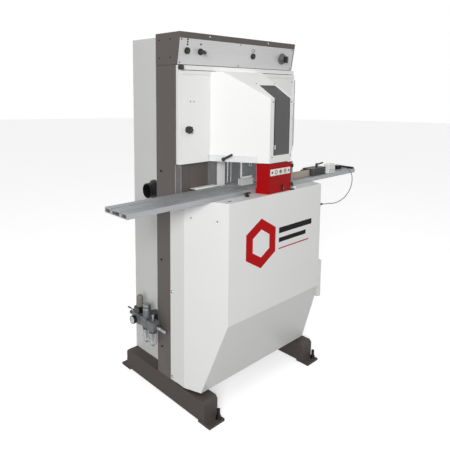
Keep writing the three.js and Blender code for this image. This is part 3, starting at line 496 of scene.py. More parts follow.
for side_name in ("left_foot", "right_foot"):
    repaint(side_name, "black_steel",
            lambda c, n: abs(abs(c.x) - 366.5) < 45 and c.z > 1 and any(
                math.hypot(c.x - bx, c.y - by) < 14.6 for bx in (-339.5, 393.5) for by in (-317, 349.5)))


def panel_ring(c, n):
    """True for the faces of the rings round the buttons and the selector."""
    reach = [(c - on_panel(*place)).cross(PANEL_OUT).length for place in (START, SELECT, STOP)]
    return any(11.0 < r < 15.6 for r in reach)


repaint("control_panel", "black", panel_ring)
for w, z in (("lower_wheel", LOWER_Z), ("upper_wheel", UPPER_Z)):
    finish_node(w, "steel", 0.6)
    repaint(w, "tyre", lambda c, n, z=z: math.hypot(c.y - WHEEL_Y, c.z - z) > WHEEL_R - 2)
finish_node("drive_shaft", "steel", 0.5)
finish_node("motor_pulley", "steel", 0.5)
finish_node("motor", "motor", 1.0)
finish_node("tension_screw", "black", 0.5)
finish_node("clear_guard", "guard", 0.0)


def guard_rim(c, n):
    """True for the sawn edges of the clear guard."""
    front_end = c.y < -300 and abs(n.z) < 0.1 and abs(n.x) < 0.9 and n.y < -0.7
    return abs(n.z) > 0.9 or c.x < -242.5 or front_end


repaint("clear_guard", "guard_edge", guard_rim)
finish_node("side_guard", "guard", 0.0)
repaint("side_guard", "guard_edge", lambda c, n: abs(n.z) > 0.9 or abs(n.y) > 0.9)


# ---------------------------------------------------------------- swept loops: blade and belt
def loop_path(c0, r0, c1, r1, step):
    """Points and outward normals, evenly spaced, of a taut loop round two circles in YZ."""
    dy, dz = c1[0] - c0[0], c1[1] - c0[1]
    dist = math.hypot(dy, dz)
    base = math.atan2(dz, dy)
    lean = math.acos((r0 - r1) / dist)
    out = []

    def arc(c, r, a0, a1):
        n = max(6, round(abs(a1 - a0) * r / step))
        for i in range(n + 1):
            a = a0 + (a1 - a0) * i / n
            out.append((c[0] + r * math.cos(a), c[1] + r * math.sin(a), math.cos(a), math.sin(a)))

    def run(to):
        y0, z0, ny, nz = out[-1]
        n = max(1, round(math.hypot(to[0] - y0, to[1] - z0) / step))
        for i in range(1, n):
            out.append((y0 + (to[0] - y0) * i / n, z0 + (to[1] - z0) * i / n, ny, nz))

    arc(c1, r1, base - lean, base + lean)
    a = base + lean
    run((c0[0] + r0 * math.cos(a), c0[1] + r0 * math.sin(a)))
    arc(c0, r0, base + lean, base + 2 * math.pi - lean)
    a = base - lean
    run((c1[0] + r1 * math.cos(a), c1[1] + r1 * math.sin(a)))
    return out


def swept(name, path, section, body, mats, replaces):
    """A closed section, given per step as [x, outward offset] points, swept round a closed path."""
    bm = bmesh.new()
    rings = []
    for i, (y, z, ny, nz) in enumerate(path):
        rings.append([bm.verts.new((x, y + ny * h, z + nz * h)) for x, h in section(i)])
    n = len(rings)
    for i in range(n):
        a, b = rings[i], rings[(i + 1) % n]
        for k in range(len(a)):
            j = (k + 1) % len(a)
            bm.faces.new((a[k], b[k], b[j], a[j]))
    bmesh.ops.recalc_face_normals(bm, faces=bm.faces)
    p = Part()
    p.bm.free()
    p.bm = bm
    return p.done(name, body, mats, replaces, sharp=35)


def saw_section(i):
    tip = (-1.0, 1.6, 0.6)[i % 3]
    set_out = (0.0, 0.12, -0.12)[i % 3] if i % 3 == 0 else 0.0
    return [(tip, 0.35 + set_out), (19, 0.35), (19, 1.25), (tip, 1.25)]


band_path = loop_path((WHEEL_Y, LOWER_Z), WHEEL_R, (WHEEL_Y, UPPER_Z), WHEEL_R, 2.0)
band_path = band_path[:len(band_path) // 3 * 3]
swept("saw_band", band_path, saw_section, "frame", "blade", ["blade"])


def belt_section(i):
    pts = [(51.5, 4.7), (72.5, 4.7)]
    ribs = 5
    for k in range(ribs):
        x1 = 72.5 - k * 21 / ribs
        w = 21 / ribs
        pts += [(x1, 2.2), (x1 - w * 0.25, 0.4), (x1 - w * 0.75, 0.4), (x1 - w, 2.2)]
    return pts


belt_path = loop_path(MOTOR_AT, MOTOR_PULLEY_R, (WHEEL_Y, LOWER_Z), SHAFT_PULLEY_R, 7.0)
swept("ribbed_belt", belt_path, belt_section, "frame", "rubber", ["belt"])


# ---------------------------------------------------------------- controls
def push_button(name, place, ring_mat):
    p = Part()
    at = on_panel(*place)
    p.lathe([(0, 8.6), (7.8, 8.9), (9.6, 9.4), (10.6, 9.2), (11.3, 8.2), (11.4, 3.6), (6, 3.6),
            (6, -13.8), (0, -13.8)],
            at, PANEL_OUT, 0, 36)
    p.lathe([(0, 8.9), (5.4, 8.9), (5.4, 8.4), (0, 8.4)], at, PANEL_OUT, 1, 28)
    p.done(name, name.replace("_cap", ""), ["black", ring_mat], [name.replace("_cap", "")])


push_button("start_button_cap", START, "dark")
push_button("stop_button_cap", STOP, "dark")


def panel_frame(place, off=0.0, turn=0.0):
    """Matrix whose Z leaves the panel and whose Y points up along it."""
    z = PANEL_OUT
    x = X
    y = z.cross(x)
    m = Matrix((x, y, z)).transposed().to_4x4()
    return Matrix.Translation(on_panel(*place, off)) @ m @ Matrix.Rotation(turn, 4, "Z")


p = Part()
p.lathe([(0, -13.8), (6, -13.8), (6, 2.2), (11.4, 2.2), (11.4, 6.8), (10.4, 8.6), (6.4, 10), (4.8, 12),
        (4.8, 23.5),
         (7.4, 25), (8.8, 27), (8.8, 34.5), (7.6, 35.8), (0, 35.9)], on_panel(*SELECT), PANEL_OUT, 0, 32)
p.box(-1.0, 1.0, 0.5, 8.4, 34.8, 36, 0.3, 1, 1, panel_frame(SELECT))
p.done("selector_knob_body", "selector_knob", ["black", "light"], ["selector_knob"])

p = Part()
p.lathe([(0, -13.8), (6, -13.8), (6, 0.4), (29.8, 0.4), (30, 2.0), (29.2, 4.4), (20, 5.2), (18.4, 7.5),
        (17.8, 19.2),
         (16.6, 20), (0, 20)], on_panel(*MAIN), PANEL_OUT, 0, 48)
p.box(-6, 6, -17, 17, 18, 41.4, 2.2, 1, 3, panel_frame(MAIN))
p.box(-0.9, 0.9, 6, 15.4, 41.1, 41.9, 0.2, 2, 1, panel_frame(MAIN))
p.done("main_switch_body", "main_switch", ["grey_cast", "black", "light"], ["main_switch"])

# printed marks above the controls: plain bars, a pointer and a ring
p = Part()
for k in range(3):
    p.box(-4.2, 4.2, 24 + 11 * k, 31 + 11 * k, -0.1, 0.45, 0.12, 0, 1, panel_frame(START))
p.prism([(-7, 36), (7, 36), (0, 26)], -0.1, 0.45, "XY", 0.1, 0, 1, panel_frame(SELECT))
p.lathe([(6.4, -0.1), (9, -0.1), (9, 0.45), (6.4, 0.45)], on_panel(STOP[0] - 3, STOP[1] + 27),
        PANEL_OUT, 1, 24)
p.box(8.5, 11, 20, 36, -0.1, 0.45, 0.1, 1, 1, panel_frame(STOP))
for k in range(8):
    a = math.pi * (0.2 + 1.6 * k / 7)
    p.box(33, 36.5, -0.7, 0.7, -0.1, 0.45, 0.1, 0, 1, panel_frame(MAIN, 0, a))
p.done("panel_marks", "frame", ["mark", "mark_grey"])


# ---------------------------------------------------------------- fasteners
def fasteners(name, body, mat, items, kind="pan"):
    p = Part()
    for at, direction, r in items:
        p.screw(at, direction, r, 0, kind)
    return p.done(name, body, mat)


fasteners("panel_screws", "frame", "black_steel",
          [(on_panel(x, z), PANEL_OUT, 3.4) for x in (-392, -18, 392) for z in (1717, 1618)])
fasteners("hood_screws", "frame", "light",
          [(on_panel(x, 1739, 1.0), PANEL_OUT, 3.6) for x in (-227, 183)])
fasteners("hood_side_screws", "frame", "black_steel",
          [((s * SIDE_X, y, 1640), (s, 0, 0), 4.0) for s in (-1, 1) for y in (-60, 20)] +
          [((s * SIDE_X, y, 1720), (s, 0, 0), 4.0) for s in (-1, 1) for y in (-60, 20)])
fasteners("column_bolts", "frame", "black_steel",
          [((s * SIDE_X, 12, z), (s, 0, 0), 5.5) for s in (-1, 1) for z in (1120, 690, 250)], "socket")
fasteners("cover_latches", "frame", "steel",
          [((s * COVER_X, -76, z), (s, 0, 0), 8.0) for s in (-1, 1) for z in (558, 135)])
fasteners("rear_screws", "frame", "black_steel",
          [((x, 321.5, z), (0, 1, 0), 4.0) for x in (-338, 0, 338) for z in (122, 520, 930, 1340, 1732)])
fasteners("hinge_screws", "frame", "steel",
          [((412.3, y, z), (1, 0, 0), 3.6) for y in (-78,) for z in (1215, 1325, 1420, 1532)])


def left_facet(s, z, off=0.0):
    """A point on the lower cover's left facet, s along it from the front corner."""
    fx, fy = facet_point(s, off)
    return Vector((-fx, fy, z))


facet_out = Vector((-FACET_DEEP, -FACET_WIDE, 0)).normalized()
facet_screws = [(left_facet(along, 935), facet_out, 3.4) for along in (55, 185)]
fasteners("facet_screws", "frame", "black_steel", facet_screws)

fasteners("door_screws", "door", "black_steel",
          [((x, DOOR_FACE, 1445), (0, -1, 0), 3.0) for x in (-341, -321)] +
          [((x, DOOR_FACE, z), (0, -1, 0), 3.0) for x in (396,) for z in (1200, 1370, 1545)])
ROOF_FALL = DOOR_TOP - ROOF_LOW
ROOF_RUN = ROOF_BACK - HOUSE_FRONT
roof_n = Vector((0, -ROOF_FALL, ROOF_RUN)).normalized()


def on_roof(x, y):
    return Vector((x, y, DOOR_TOP - max(0, ROOF_BACK - y) * ROOF_FALL / ROOF_RUN))


roof_screws = [(on_roof(x, -254), roof_n, 3.0) for x in (-50, 84)]
front_screws = [((x, HOUSE_FRONT, z), (0, -1, 0), 3.0)
                for x, z in ((84, 1445), (84, 1191), (-52, 1191), (-52, 1445))]
fasteners("window_screws", "door", "black_steel", roof_screws + front_screws)

# folded edges of the door sheet
p = Part()
p.box(-398, -221, -124.5, -120.2, 1566, DOOR_TOP, 1.6, 0)
p.box(94, SIDE_X, -124.5, -120.2, 1566, DOOR_TOP, 1.6, 0)
p.box(-404, -399.5, -123.2, -120.2, 1163, DOOR_TOP, 1.2, 0)
p.box(407.5, 412.8, -123.2, -120.2, 1163, DOOR_TOP, 1.2, 0)
p.done("door_edge_folds", "door", "white")
# black strip inside the window's left edge: painted shadow of the housing's interior, crossed by a painted
# lit patch in light moulding
p = Part()
p.box(-38, -35.5, -360.9, -357, 1199, 1452, 0.8, 0)
p.box(-37, -28, -360.9, -356.8, 1226, 1246, 1.2, 1)
p.done("window_edge_painted_shadow", "door", ["black", "light"])


# ---------------------------------------------------------------- knobs and clamping levers
def star_knob(name, node, body, at, direction, radius, height, lobes=7):
    p = Part()
    m = Matrix.Translation(at) @ turn_to(direction)
    outline = []
    steps = lobes * 12
    for i in range(steps):
        a = 2 * math.pi * i / steps
        outline.append((math.cos(a) * radius * (0.9 + 0.1 * math.cos(lobes * a)),
                        math.sin(a) * radius * (0.9 + 0.1 * math.cos(lobes * a))))
    p.prism(outline, height * 0.35, height * 0.92, "XY", 2.0, 0, 3, m)
    p.lathe([(0, -13.8), (6, -13.8), (6, 0.4), (radius * 0.9, 0.4), (radius * 0.62, height * 0.2),
             (radius * 0.55, height * 0.4), (0, height * 0.4)], at, direction, 0, 32)
    p.lathe([(0, height * 0.9), (radius * 0.42, height * 0.9), (radius * 0.36, height), (0, height)],
            at, direction, 1, 32)
    return p.done(name, body, ["black", "dark"], [node])


star_knob("door_star_knob", "door_knob", "door_knob", Vector((-357, DOOR_FACE, 1319)), -Y, 17.5, 23)


def clamp_lever(p, at, axis, along, hub_r, hub_h, length, r0, r1, m=0):
    """Adjustable clamping lever: hub on an axis and a tapered, rising arm with a rounded end."""
    at, axis, along = Vector(at), Vector(axis).normalized(), Vector(along).normalized()
    p.lathe([(0, 0), (hub_r * 0.8, 0), (hub_r, hub_h * 0.18), (hub_r, hub_h * 0.8),
            (hub_r * 0.8, hub_h), (0, hub_h)],
            at, axis, m, 24)
    p.lathe([(0, hub_h * 0.96), (hub_r * 0.42, hub_h * 0.96), (hub_r * 0.42, hub_h + 0.9),
            (0, hub_h + 0.9)],
            at, axis, m, 6)
    start = at + axis * hub_h * 0.66
    n = length
    prof = [(0, 0), (r0, 0.6), (r0 * 1.02, n * 0.25), ((r0 + r1) / 2, n * 0.55), (r1, n * 0.8),
            (r1 * 1.06, n - r1), (r1 * 0.7, n - r1 * 0.3), (0, n)]
    p.lathe(prof, start, along, m, 20)


g_dir = Vector((148, -240, 0)).normalized()
g_out = Vector((g_dir.y, -g_dir.x, 0))
lever_at = Vector((-218, DOOR_FACE, 1178)) + g_dir * 70 + g_out * 14.3
p = Part()
clamp_lever(p, lever_at, g_out, Vector((g_dir.x, g_dir.y, 0.55)), 9, 15, 51, 5.4, 5.2)
p.done("guard_clamp_lever", "guard_lever", "black", ["guard_lever"])
p = Part()
clamp_lever(p, (476, -245, 1078.3), Z, (1, 0, 0.08), 7, 19.4, 63, 4.4, 4.3)
p.done("stop_clamp_lever", "stop_lever", "black", ["stop_lever"])
p = Part()
p.lathe([(0, -15.8), (3.9, -15.8), (3.9, 0.5), (9.6, 0.5), (10, 2), (9.4, 7.6), (5.4, 9), (4.6, 12),
        (0, 12)],
        (-175, -322, COVER_TOP), Z, 0, 24)
p.box(-196.6, -153.4, -325.8, -318.2, 1029.8, 1036.8, 2.6, 1, 3)
p.hexa((-175, -322, 1035.5), Z, 9, 3.0, 0)
p.done("table_lock_handle", "table_lock", ["black_steel", "black"], ["table_lock"])
p = Part()
p.box(26.2, 35.8, -366.8, -360.9, 1021.2, 1054.8, 1.6, 0, 3)
p.lathe([(0, 0), (5.8, 0), (5.8, 6), (4.6, 7.1), (0, 7.1)], (31, HOUSE_FRONT, 1046), -Y, 0, 24)
p.box(28.6, 33.4, -367.4, -366.2, 1030, 1043, 0.5, 1, 2)
p.done("guard_latch_body", "guard_latch", ["black", "grey_cast"], ["guard_latch"])
p = Part()
p.lathe([(0, 0), (5.8, 0), (6, 1), (6, 9), (4.6, 10), (0, 10)], (-432, 228, 364.3), Z, 0, 20)
p.box(-436.6, -427.4, 226.2, 271.8, 368.2, 372.8, 1.8, 0, 3)
p.box(-436.9, -427.1, 244, 271.9, 367.8, 373, 2.0, 1, 3)
p.done("air_valve_handle", "valve_lever", ["steel", "black"], ["valve_lever"])
p = Part()
p.box(-413.9, -396.1, -141.9, -120.9, 1586.1, 1606.9, 1.8, 0, 3)
p.box(-410, -400, -142.4, -141.2, 1590, 1603, 0.5, 1, 2)
for z in (1590, 1603):
    p.screw((-413.9, -128, z), -X, 2.0, 1)
p.done("interlock_body", "frame", ["black", "dark"], ["interlock_switch"])

# ---------------------------------------------------------------- hold-down beside the blade
p = Part()
p.box(-158, -70, -150, -88, 1240, 1340, 2.5, 0, 3)
p.box(-150, -78, -151, -149, 1250, 1330, 1.0, 1, 2)
p.lathe([(0, 0), (9, 0), (9, 8), (7, 11), (0, 11)], (HOLD_X, -150, 1322), -Y, 2, 24)
p.hexa((HOLD_X, -150, 1322), -Y, 15, 5, 2)
for x in HOLD_RODS:
    p.rod((x, ROD_Y, 1046), (x, ROD_Y, 1241), 4, 3, 24, 0.8)
    p.lathe([(4.2, 0), (7.2, 0), (7.2, 5), (4.2, 5)], (x, ROD_Y, 1236), Z, 1, 24)
p.done("holddown_block", "frame", ["alu_cross", "dark", "brass", "chrome"], ["holddown_cylinder"])

p = Part()
p.box(-124, -70, -236, -113.2, 1166, 1184, 1.8, 0, 3)
p.box(-134, -52, -238.9, -231, 1082, 1184, 1.6, 0, 3)
p.rod((HOLD_X, -142, 1184), (HOLD_X, -142, 1284), 5, 2, 24, 0.8)
p.hexa((HOLD_X, -142, 1184.1), Z, 16, 7, 3)
for x in HOLD_RODS:
    p.lathe([(4.3, 0), (8, 0), (8, 4), (7, 5.5), (4.3, 5.5)], (x, ROD_Y, 1183.6), Z, 3, 24)
p.lathe([(5.4, 0), (9.4, 0), (9.4, 1.4), (8.6, 2.2), (5.4, 2.2)], (-67, -238.8, 1146), -Y, 1, 32)
p.lathe([(0, 0), (5.2, 0), (5.2, 1.4), (4.2, 1.9), (0, 1.9)], (-67, -238.8, 1146), -Y, 4, 24)
p.box(-133.6, -125, -241.5, -238.6, 1084, 1182, 0.9, 1, 2)
p.box(-133.6, -54, -241.5, -238.6, 1083, 1092, 0.9, 1, 2)
for x in (-116, -78):
    p.screw((x, -238.9, 1106), -Y, 3.0, 3, "socket")
p.done("holddown_arm", "holddown", ["throat", "light", "chrome", "steel", "mark"], ["holddown_plate"])

p = Part()
p.box(-132, -54, -250, -222, 1077.5, 1081.7, 1.0, 0, 2)
p.box(-132, -54, -238, -234, 1051.5, 1078, 0.3, 1, 1)
for k in range(9):
    x = -132 + 9.25 * k
    p.box(x, x + 4.0, -249.8, -222.2, 1051.1, 1078, 0.8, 0, 2)
p.done("holddown_comb", "holddown", ["comb", "dark"], ["holddown_shoe"])

# a black rubber plug filling the oval slot in the top plate: painted shade standing in for the dark inside of
# the slot
p = Part()
slot_ring = []
for k in range(24):
    a = math.tau * (k + 0.5) / 24
    slot_ring.append((-295 + math.copysign(7, math.cos(a)) + 6.8 * math.cos(a), -331 + 6.8 * math.sin(a)))
p.prism(slot_ring, 1012.3, 1016.8, "XY", 0.4, 0, 2)
p.done("slot_painted_shade_plug", "frame", "rubber")

p = Part()
p.box(-322, -180, -137.5, -133, ON_TABLE, 1047, 0.8, 0, 2)
p.box(-322, -180, -133.2, -96, ON_TABLE, 1042.5, 0.4, 0, 2)
p.done("table_back_strip", "frame", "light")

# ---------------------------------------------------------------- red guard: label strip of plain shapes
p = Part()
p.box(-62, 86, -361.4, -360.2, 1103, 1134, 0.3, 0, 1)
strip = -361.35


def dot(x, r, m, hole=0.0):
    if hole:
        p.lathe([(hole, 0), (r, 0), (r, 0.35), (hole, 0.35)], (x, strip, 1118.5), -Y, m, 28)
    else:
        p.lathe([(0, 0), (r, 0), (r, 0.35), (0, 0.35)], (x, strip, 1118.5), -Y, m, 28)


dot(-48, 5.0, 1)
dot(-20, 9.6, 2, 6.4)
p.prism([(0, 1107), (11, 1118.5), (0, 1130), (-11, 1118.5)], strip - 0.35, strip, "XZ", 0.0, 3, 1,
        Matrix.Translation((13, 0, 0)))
dot(46, 9.6, 2, 6.4)
dot(46, 3.0, 1)
dot(74, 5.0, 1)
p.done("guard_strip", "red_guard", ["light", "mark", "mark_red", "mark_green"])
p = Part()
p.box(-69.4, 91.4, -358.8, -355.4, 1154, 1158.8, 1.2, 0, 2)
p.lathe([(6.1, 0), (9.6, 0), (9.6, 16), (6.1, 16)], (POST_X, POST_Y, 1130), Z, 1, 24)
p.lathe([(6.1, 0), (9.6, 0), (9.6, 16), (6.1, 16)], (POST_X, POST_Y, 1040), Z, 1, 24)
for z in (1138, 1048):
    p.box(88, 97, -359.6, -356.6, z - 6, z + 6, 0.6, 1, 2)
p.done("guard_hinge_ears", "red_guard", ["red", "black_steel"])
p = Part()
p.rod((POST_X, POST_Y, COVER_TOP), (POST_X, POST_Y, 1159), 5.9, 0, 24, 1.2)
p.box(88, 118, -367, -346, COVER_TOP, 1024.2, 1.2, 1, 2)
p.screw((112, -350.5, 1024.2), Z, 3.0, 0, "socket")
p.box(124, 150, -352, -320, COVER_TOP, 1027.5, 1.4, 2, 2)
p.lathe([(0, 0), (7, 0), (7, 7), (5, 8), (0, 8)], (137, -336, 1027), Z, 1, 6)
p.done("guard_post_foot", "frame", ["grey_cast", "black_steel", "light"])

# ---------------------------------------------------------------- fence, length stop, read head
p = Part()
p.box(116, 387, -262, -252.5, ON_TABLE, 1074, 1.0, 0, 2)
p.box(116, 387, -252.6, -250, 1043, 1071, 0.4, 1, 2)
p.box(117, 386, -261.2, -258, 1073.4, 1074, 0.2, 2, 1)
for x in (140, 250, 362):
    p.screw((x, -262, 1057), -Y, 4.0, 3, "socket", 0.6)
p.done("fence_bar", "frame", ["beige", "alu", "beige", "steel"], ["fence_plate"])

p = Part()
p.box(387.5, 520, -276, -214, ON_TABLE, 1078, 2.2, 0, 3)
p.box(387.5, 399, -214.5, -200, ON_TABLE, 1066, 1.4, 1, 2)
p.box(392, 516, -277, -275.4, 1047, 1071, 0.8, 1, 2)
for x in (402, 506):
    for z in (1052, 1066):
        p.screw((x, -276.8, z), -Y, 2.6, 2, "socket", 1.0)
p.lathe([(7.4, 0), (12, 0), (12, 1.2), (7.4, 1.2)], (476, -245, 1077.2), Z, 2, 32)
p.done("stop_slider", "stop_carriage", ["dark", "black", "steel"], ["stop_carriage"])
p = Part()
p.box(520.5, 588, -294, -262, ON_TABLE, 1092, 3.2, 0, 3)
p.box(527, 581, -294.4 + 0.5, -293, 1068, 1083, 0.8, 1, 2)
p.box(527, 581, -294, -293, 1060, 1062.5, 0.3, 1, 1)
for k in range(4):
    p.lathe([(0, 0), (3.6, 0), (3.2, 0.7), (0, 0.8)], (532 + 14.5 * k, -293.8 + 0.4, 1052), -Y, 2, 20)
p.done("readout_case", "stop_carriage", ["light", "mark", "mark_grey"], ["readout"])
p = Part()
p.box(690, 735, -245, -212, ON_TABLE, 1062, 1.8, 0, 3)
p.lathe([(2.4, 0), (5.2, 0), (4.4, 9), (2.8, 15), (2.4, 15)], (READ_X, -244.6, READ_Z), -Y, 1, 24)
for x in (696, 729):
    p.screw((x, -228, 1062), Z, 2.6, 2, "socket", 1.0)
p.done("read_head", "frame", ["black", "rubber", "steel"], ["sensor_block"])
p = Part()
p.box(398, 797, -207, -196, 1040.2, 1045.6, 0.8, 0, 2)
p.box(398, 797, -203.6, -199.4, 1045.5, 1046.2, 0.2, 1, 1)
p.box(780, 797.6, -290, -206, 1040.2, 1050, 1.5, 2, 2)
p.done("length_scale", "frame", ["dark", "steel", "black"])

# ---------------------------------------------------------------- air service unit
AX, AZ = -432, 352
p = Part()
p.box(AX - 25, AX + 23, 145, 200, AZ - 25, AZ + 28, 3.5, 0, 3)
p.box(AX - 23, AX + 21, 84, 141, AZ - 23, AZ + 26, 4.0, 0, 3)
p.box(AX - 23, AX + 21, 24, 80, AZ - 23, AZ + 22, 4.0, 0, 3)
for y in (82, 143):
    p.box(AX - 21, AX + 19, y - 4, y + 4, AZ - 19, AZ + 20, 1.2, 1, 2)
p.box(AX + 20, -350.3, 95, 145, AZ - 20, AZ + 24, 1.0, 1, 2)
p.lathe([(0, 0), (20, 0), (20, 38), (18.6, 40), (18.6, 44), (19.6, 46), (19.6, 58), (0, 58)],
        (AX, 105, AZ + 25), Z, 0, 36)
p.lathe([(0, 57.6), (19, 57.6), (18.8, 63), (15, 66.4), (0, 67.8)], (AX, 105, AZ + 25), Z, 3, 36)
p.lathe([(19.9, 39.5), (20, 39.5), (20, 44.5), (19.9, 44.5)], (AX, 105, AZ + 25), Z, 3, 36)
p.lathe([(0, 0), (8, 0), (8, 9), (5, 11), (5, 22), (7.4, 24), (7.4, 30), (3, 33.6), (0, 33.8)],
        (AX, 52, AZ + 22), Z, 3, 24)
p.hexa((AX, 25, AZ), -Y, 16, 14, 3)
p.lathe([(0, 0), (6.5, 0), (6.5, 16), (8.8, 18), (8.8, 32), (6.2, 34), (6.2, 50), (8.2, 52), (8.2, 72),
        (6, 73.8), (0, 73.8)],
        (AX, 25, AZ), -Y, 3, 28)
p.hexa((AX, -16, AZ), -Y, 15.4, 10, 3)
p.lathe([(0, 0), (11.6, 0), (12, 2), (12, 30), (9.5, 33), (9.5, 50.5), (8, 52), (0, 52)],
        (AX, 195, AZ), Y, 1, 28)
p.hexa((AX, 212, AZ), Y, 22, 12, 3)
p.lathe([(0, 0), (6, 0), (6, 7), (20.6, 7.6), (21, 9), (21, 20.4), (20, 21.8), (18, 21.8), (18, 20),
        (0, 20)],
        (AX - 22, 172, AZ - 4), -X, 4, 40)
p.lathe([(0, 20), (17.9, 20), (17.9, 20.6), (0, 20.6)], (AX - 22, 172, AZ - 4), -X, 5, 36)
gauge = Matrix.Translation((AX - 42.4, 172, AZ - 4)) @ turn_to(-X)
for k in range(11):
    a = math.radians(-135 + 27 * k)
    p.box(-0.4, 0.4, 13.2, 16.4, -0.1, 0.35, 0.0, 4, 1, gauge @ Matrix.Rotation(a, 4, "Z"))
p.box(-0.5, 0.5, -3, 12, -0.1, 0.7, 0.1, 4, 1, gauge @ Matrix.Rotation(math.radians(70), 4, "Z"))
p.lathe([(0, 0), (2.4, 0), (2.4, 1), (0, 1)], (AX - 42.2, 172, AZ - 4), -X, 4, 20)
for y in (60, 100, 156, 190):
    p.screw((AX - 22.6 if y < 145 else AX - 25, y, AZ + 16), -X, 2.6, 3, "socket", 1.2)
p.done("air_unit", "frame", ["grey_cast", "dark", "knob_grey", "steel", "black", "dial"], ["frl_body"])

p = Part()
p.lathe([(0, 0), (15, 0), (15, 2), (0, 2)], (AX, 165, AZ + 28.3), Z, 1, 36)
p.box(AX - 22.5, AX + 22.5, 142.5, 187.5, AZ + 29.5, AZ + 60, 4.0, 1, 3)
outline = []
for i in range(96):
    a = 2 * math.pi * i / 96
    r = 16.6 if i % 4 < 2 else 15.6
    outline.append((r * math.cos(a), r * math.sin(a)))
p.prism(outline, AZ + 59, AZ + 106, "XY", 0.25, 0, 1, Matrix.Translation((AX, 165, 0)))
p.lathe([(0, 0), (16.4, 0), (15.6, 5), (12.6, 9.6), (7, 12.4), (0, 13)], (AX, 165, AZ + 105.6), Z, 0, 36)
p.done("regulator_dome", "regulator_knob", ["knob_grey", "black"], ["regulator_knob"])


def bowl(name, node, y):
    """Clear bowl with collar, inner tube and drain."""
    b = Part()
    top = AZ - 25.3
    b.lathe([(0, 0), (19, 0), (19.6, -3), (19.6, -60), (18, -69), (13, -77), (6, -79.6), (6, -83.8),
            (0, -83.9)],
            (AX, y, top), Z, 0, 40)
    b.lathe([(19.7, -1), (20, -1), (20, -12), (19.7, -12)], (AX, y, top), Z, 1, 40)
    b.lathe([(0, -2), (5.4, -2), (5.4, -40), (3.4, -44), (3.4, -62), (0, -62)], (AX, y, top), Z, 2, 20)
    b.lathe([(6.1, -79.4), (6.4, -79.4), (6.4, -83.4), (6.1, -83.4)], (AX, y, top), Z, 2, 20)
    return b.done(name, "frame", ["bowl", "dark", "black"], [node])


bowl("filter_bowl_clear", "filter_bowl", 108)
bowl("lubricator_bowl_clear", "lubricator_bowl", 54)

# ---------------------------------------------------------------- dust port, duct, gland, emblem, rear
p = Part()
p.lathe([(34, 0.4), (49.6, 0.4), (50, 1), (50, 3.6), (49.4, 4), (39.6, 4.4), (37, 6), (37, 16), (35.8, 17),
         (35.8, 20), (37, 21), (37, 30), (35.8, 31), (35.8, 34), (37, 35), (37, 47.2), (36.4, 48),
             (34.6, 48),
         (34, 47)], (-350, 142, 1003), -X, 0, 56)
for k in range(6):
    a = math.pi / 3 * k + 0.3
    p.screw((-354, 142 + 44 * math.cos(a), 1003 + 44 * math.sin(a)), -X, 2.6, 1)
p.done("hose_collar", "frame", ["black", "steel"], ["dust_port"])

# a snap-on lid and two end caps finish the duct, a screwed gland holds the cable
p = Part()
DUCT_PIECES = ((13.5, 60.5, 409, 591, 26.9), (12.2, 61.8, 400.4, 407, 26.4), (12.2, 61.8, 593, 599.6, 26.4))
for s0, s1, z0, z1, off in DUCT_PIECES:
    p.prism([facet_point(s0, off), facet_point(s1, off), facet_point(s1, 24.8), facet_point(s0, 24.8)],
            z0, z1, "XY", 0.5, 0, 2)
p.done("duct_lid", "frame", "light")

p = Part()
gland_out = Vector((FACET_DEEP, -FACET_WIDE, 0)).normalized()
p.hexa((*facet_point(GLAND_S, 0.4), GLAND_Z), gland_out, 12.0, 6, 0)
gland_foot = (*facet_point(GLAND_S, 0), GLAND_Z)
p.lathe([(0, 0.4), (5.6, 0.4), (5.6, 9), (6.9, 10), (6.9, 24), (6.2, 29), (4.6, 34), (3.2, 37.4), (2.4, 37.8),
         (2.4, 20), (0, 20)], gland_foot, gland_out, 0, 28)
for k in range(14):
    spin = Matrix.Rotation(math.tau * k / 14, 4, "Z")
    turn = Matrix.Translation(gland_foot) @ turn_to(gland_out) @ spin
    p.box(6.4, 6.98, -0.5, 0.5, 11, 23, 0.1, 0, 1, turn)
p.done("cable_gland_nut", "frame", "black", ["cable_gland"])

p = Part()
badge = Matrix.Translation((-128, -370.3, 800)) @ turn_to(-Y)


def hexagon(radius):
    return [(radius * math.cos(math.radians(60 * k + 30)), radius * math.sin(math.radians(60 * k + 30)))
            for k in range(6)]


p.prism(hexagon(118), 0, 0.26, "XY", 0, 0, 1, badge)
p.prism(hexagon(66), 0.1, 0.3, "XY", 0, 2, 1, badge)
p.box(0, 262, -370.58, -370.3, 822, 850, 0, 1)
p.box(0, 214, -370.58, -370.3, 778, 800, 0, 1)
p.box(0, 240, -370.58, -370.3, 744, 750, 0, 0)
p.done("front_emblem", "frame", ["mark_red", "mark", "white"])

p = Part()
p.box(-30, 30, REAR_FACE, 330, 900, 908, 1.0, 0, 2)
p.box(-30, 30, REAR_FACE, 330, 1092, 1100, 1.0, 0, 2)
p.rod((0, 334, 904), (0, 334, 1096), 6, 0, 24, 1.5)
p.box(-8, 8, 326, 336, 900, 908, 1.0, 0, 2)
p.box(-8, 8, 326, 336, 1092, 1100, 1.0, 0, 2)
p.done("rear_handle", "frame", "black")

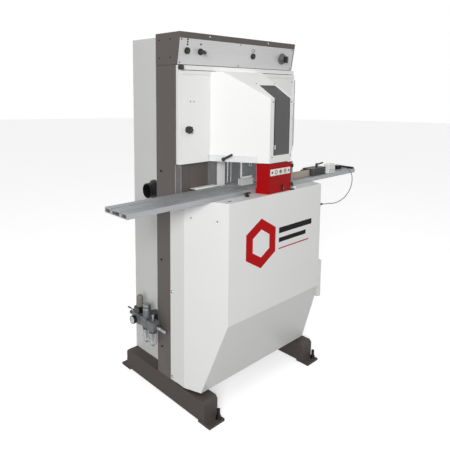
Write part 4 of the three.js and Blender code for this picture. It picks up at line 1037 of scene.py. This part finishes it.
# ---------------------------------------------------------------- stage
WORLD, KEY, FILL, TOP = 0.37, 212, 12, 18
KEY_AT = (-4.2, -3.7, 2.7)
world = bpy.data.worlds.new("world")
bpy.context.scene.world = world
world.use_nodes = True
world.node_tree.nodes["Background"].inputs[0].default_value = (1, 1, 1, 1)
world.node_tree.nodes["Background"].inputs[1].default_value = WORLD


def stage_mesh(name, verts, faces, mat):
    me = bpy.data.meshes.new(name)
    me.from_pydata(verts, [], faces)
    me.materials.append(mat)
    o = bpy.data.objects.new(name, me)
    bpy.context.scene.collection.objects.link(o)
    return o


def backdrop_material():
    m, t, shade = shader("backdrop_white")
    shade.inputs["Base Color"].default_value = (0, 0, 0, 1)
    shade.inputs["Specular IOR Level"].default_value = 0
    shade.inputs["Emission Color"].default_value = (1, 1, 1, 1)
    shade.inputs["Emission Strength"].default_value = 1.0
    return m


def plane(name, size, z, mat):
    return stage_mesh(name, [(-size, -size, z), (size, -size, z), (size, size, z), (-size, size, z)],
                      [(0, 1, 2, 3)], mat)


def floor_material():
    m = surface("pale_floor", (0.93, 0.93, 0.93), 0.8, 0.0, 0.003, 1.0, 60.0, 0.0, spec=0.05)
    shade = m.node_tree.nodes["Principled BSDF"]
    shade.inputs["Emission Color"].default_value = (1, 1, 1, 1)
    shade.inputs["Emission Strength"].default_value = 0.56
    return m


R = 24  # half size of the stage, metres
floor = plane("floor", R, 0.0, floor_material())
floor.visible_diffuse = False
bounce = plane("floor_bounce", R, -0.002, surface("floor_grey", (0.22, 0.22, 0.22), 0.8, 0.0, 0.003,
        1.0, 60.0, 0.0))
bounce.visible_camera = False
ring = [(R * math.cos(math.pi * k / 12), R * math.sin(math.pi * k / 12), z)
        for z in (-1, 22) for k in range(24)]
dome = stage_mesh("backdrop", ring, [(k, (k + 1) % 24, 24 + (k + 1) % 24, 24 + k) for k in range(24)],
                  backdrop_material())
for attr in ("visible_diffuse", "visible_transmission", "visible_shadow"):
    setattr(dome, attr, False)
area_light("key", KEY_AT, (0, 0, 0.9), 2.2, KEY)
area_light("fill", (0.6, -5.0, 3.0), (0, 0, 0.9), 3.0, FILL)
area_light("top", (0.3, -0.3, 5.0), (0, 0, 0), 4.0, TOP)
bpy.context.scene.view_settings.view_transform = "Standard"
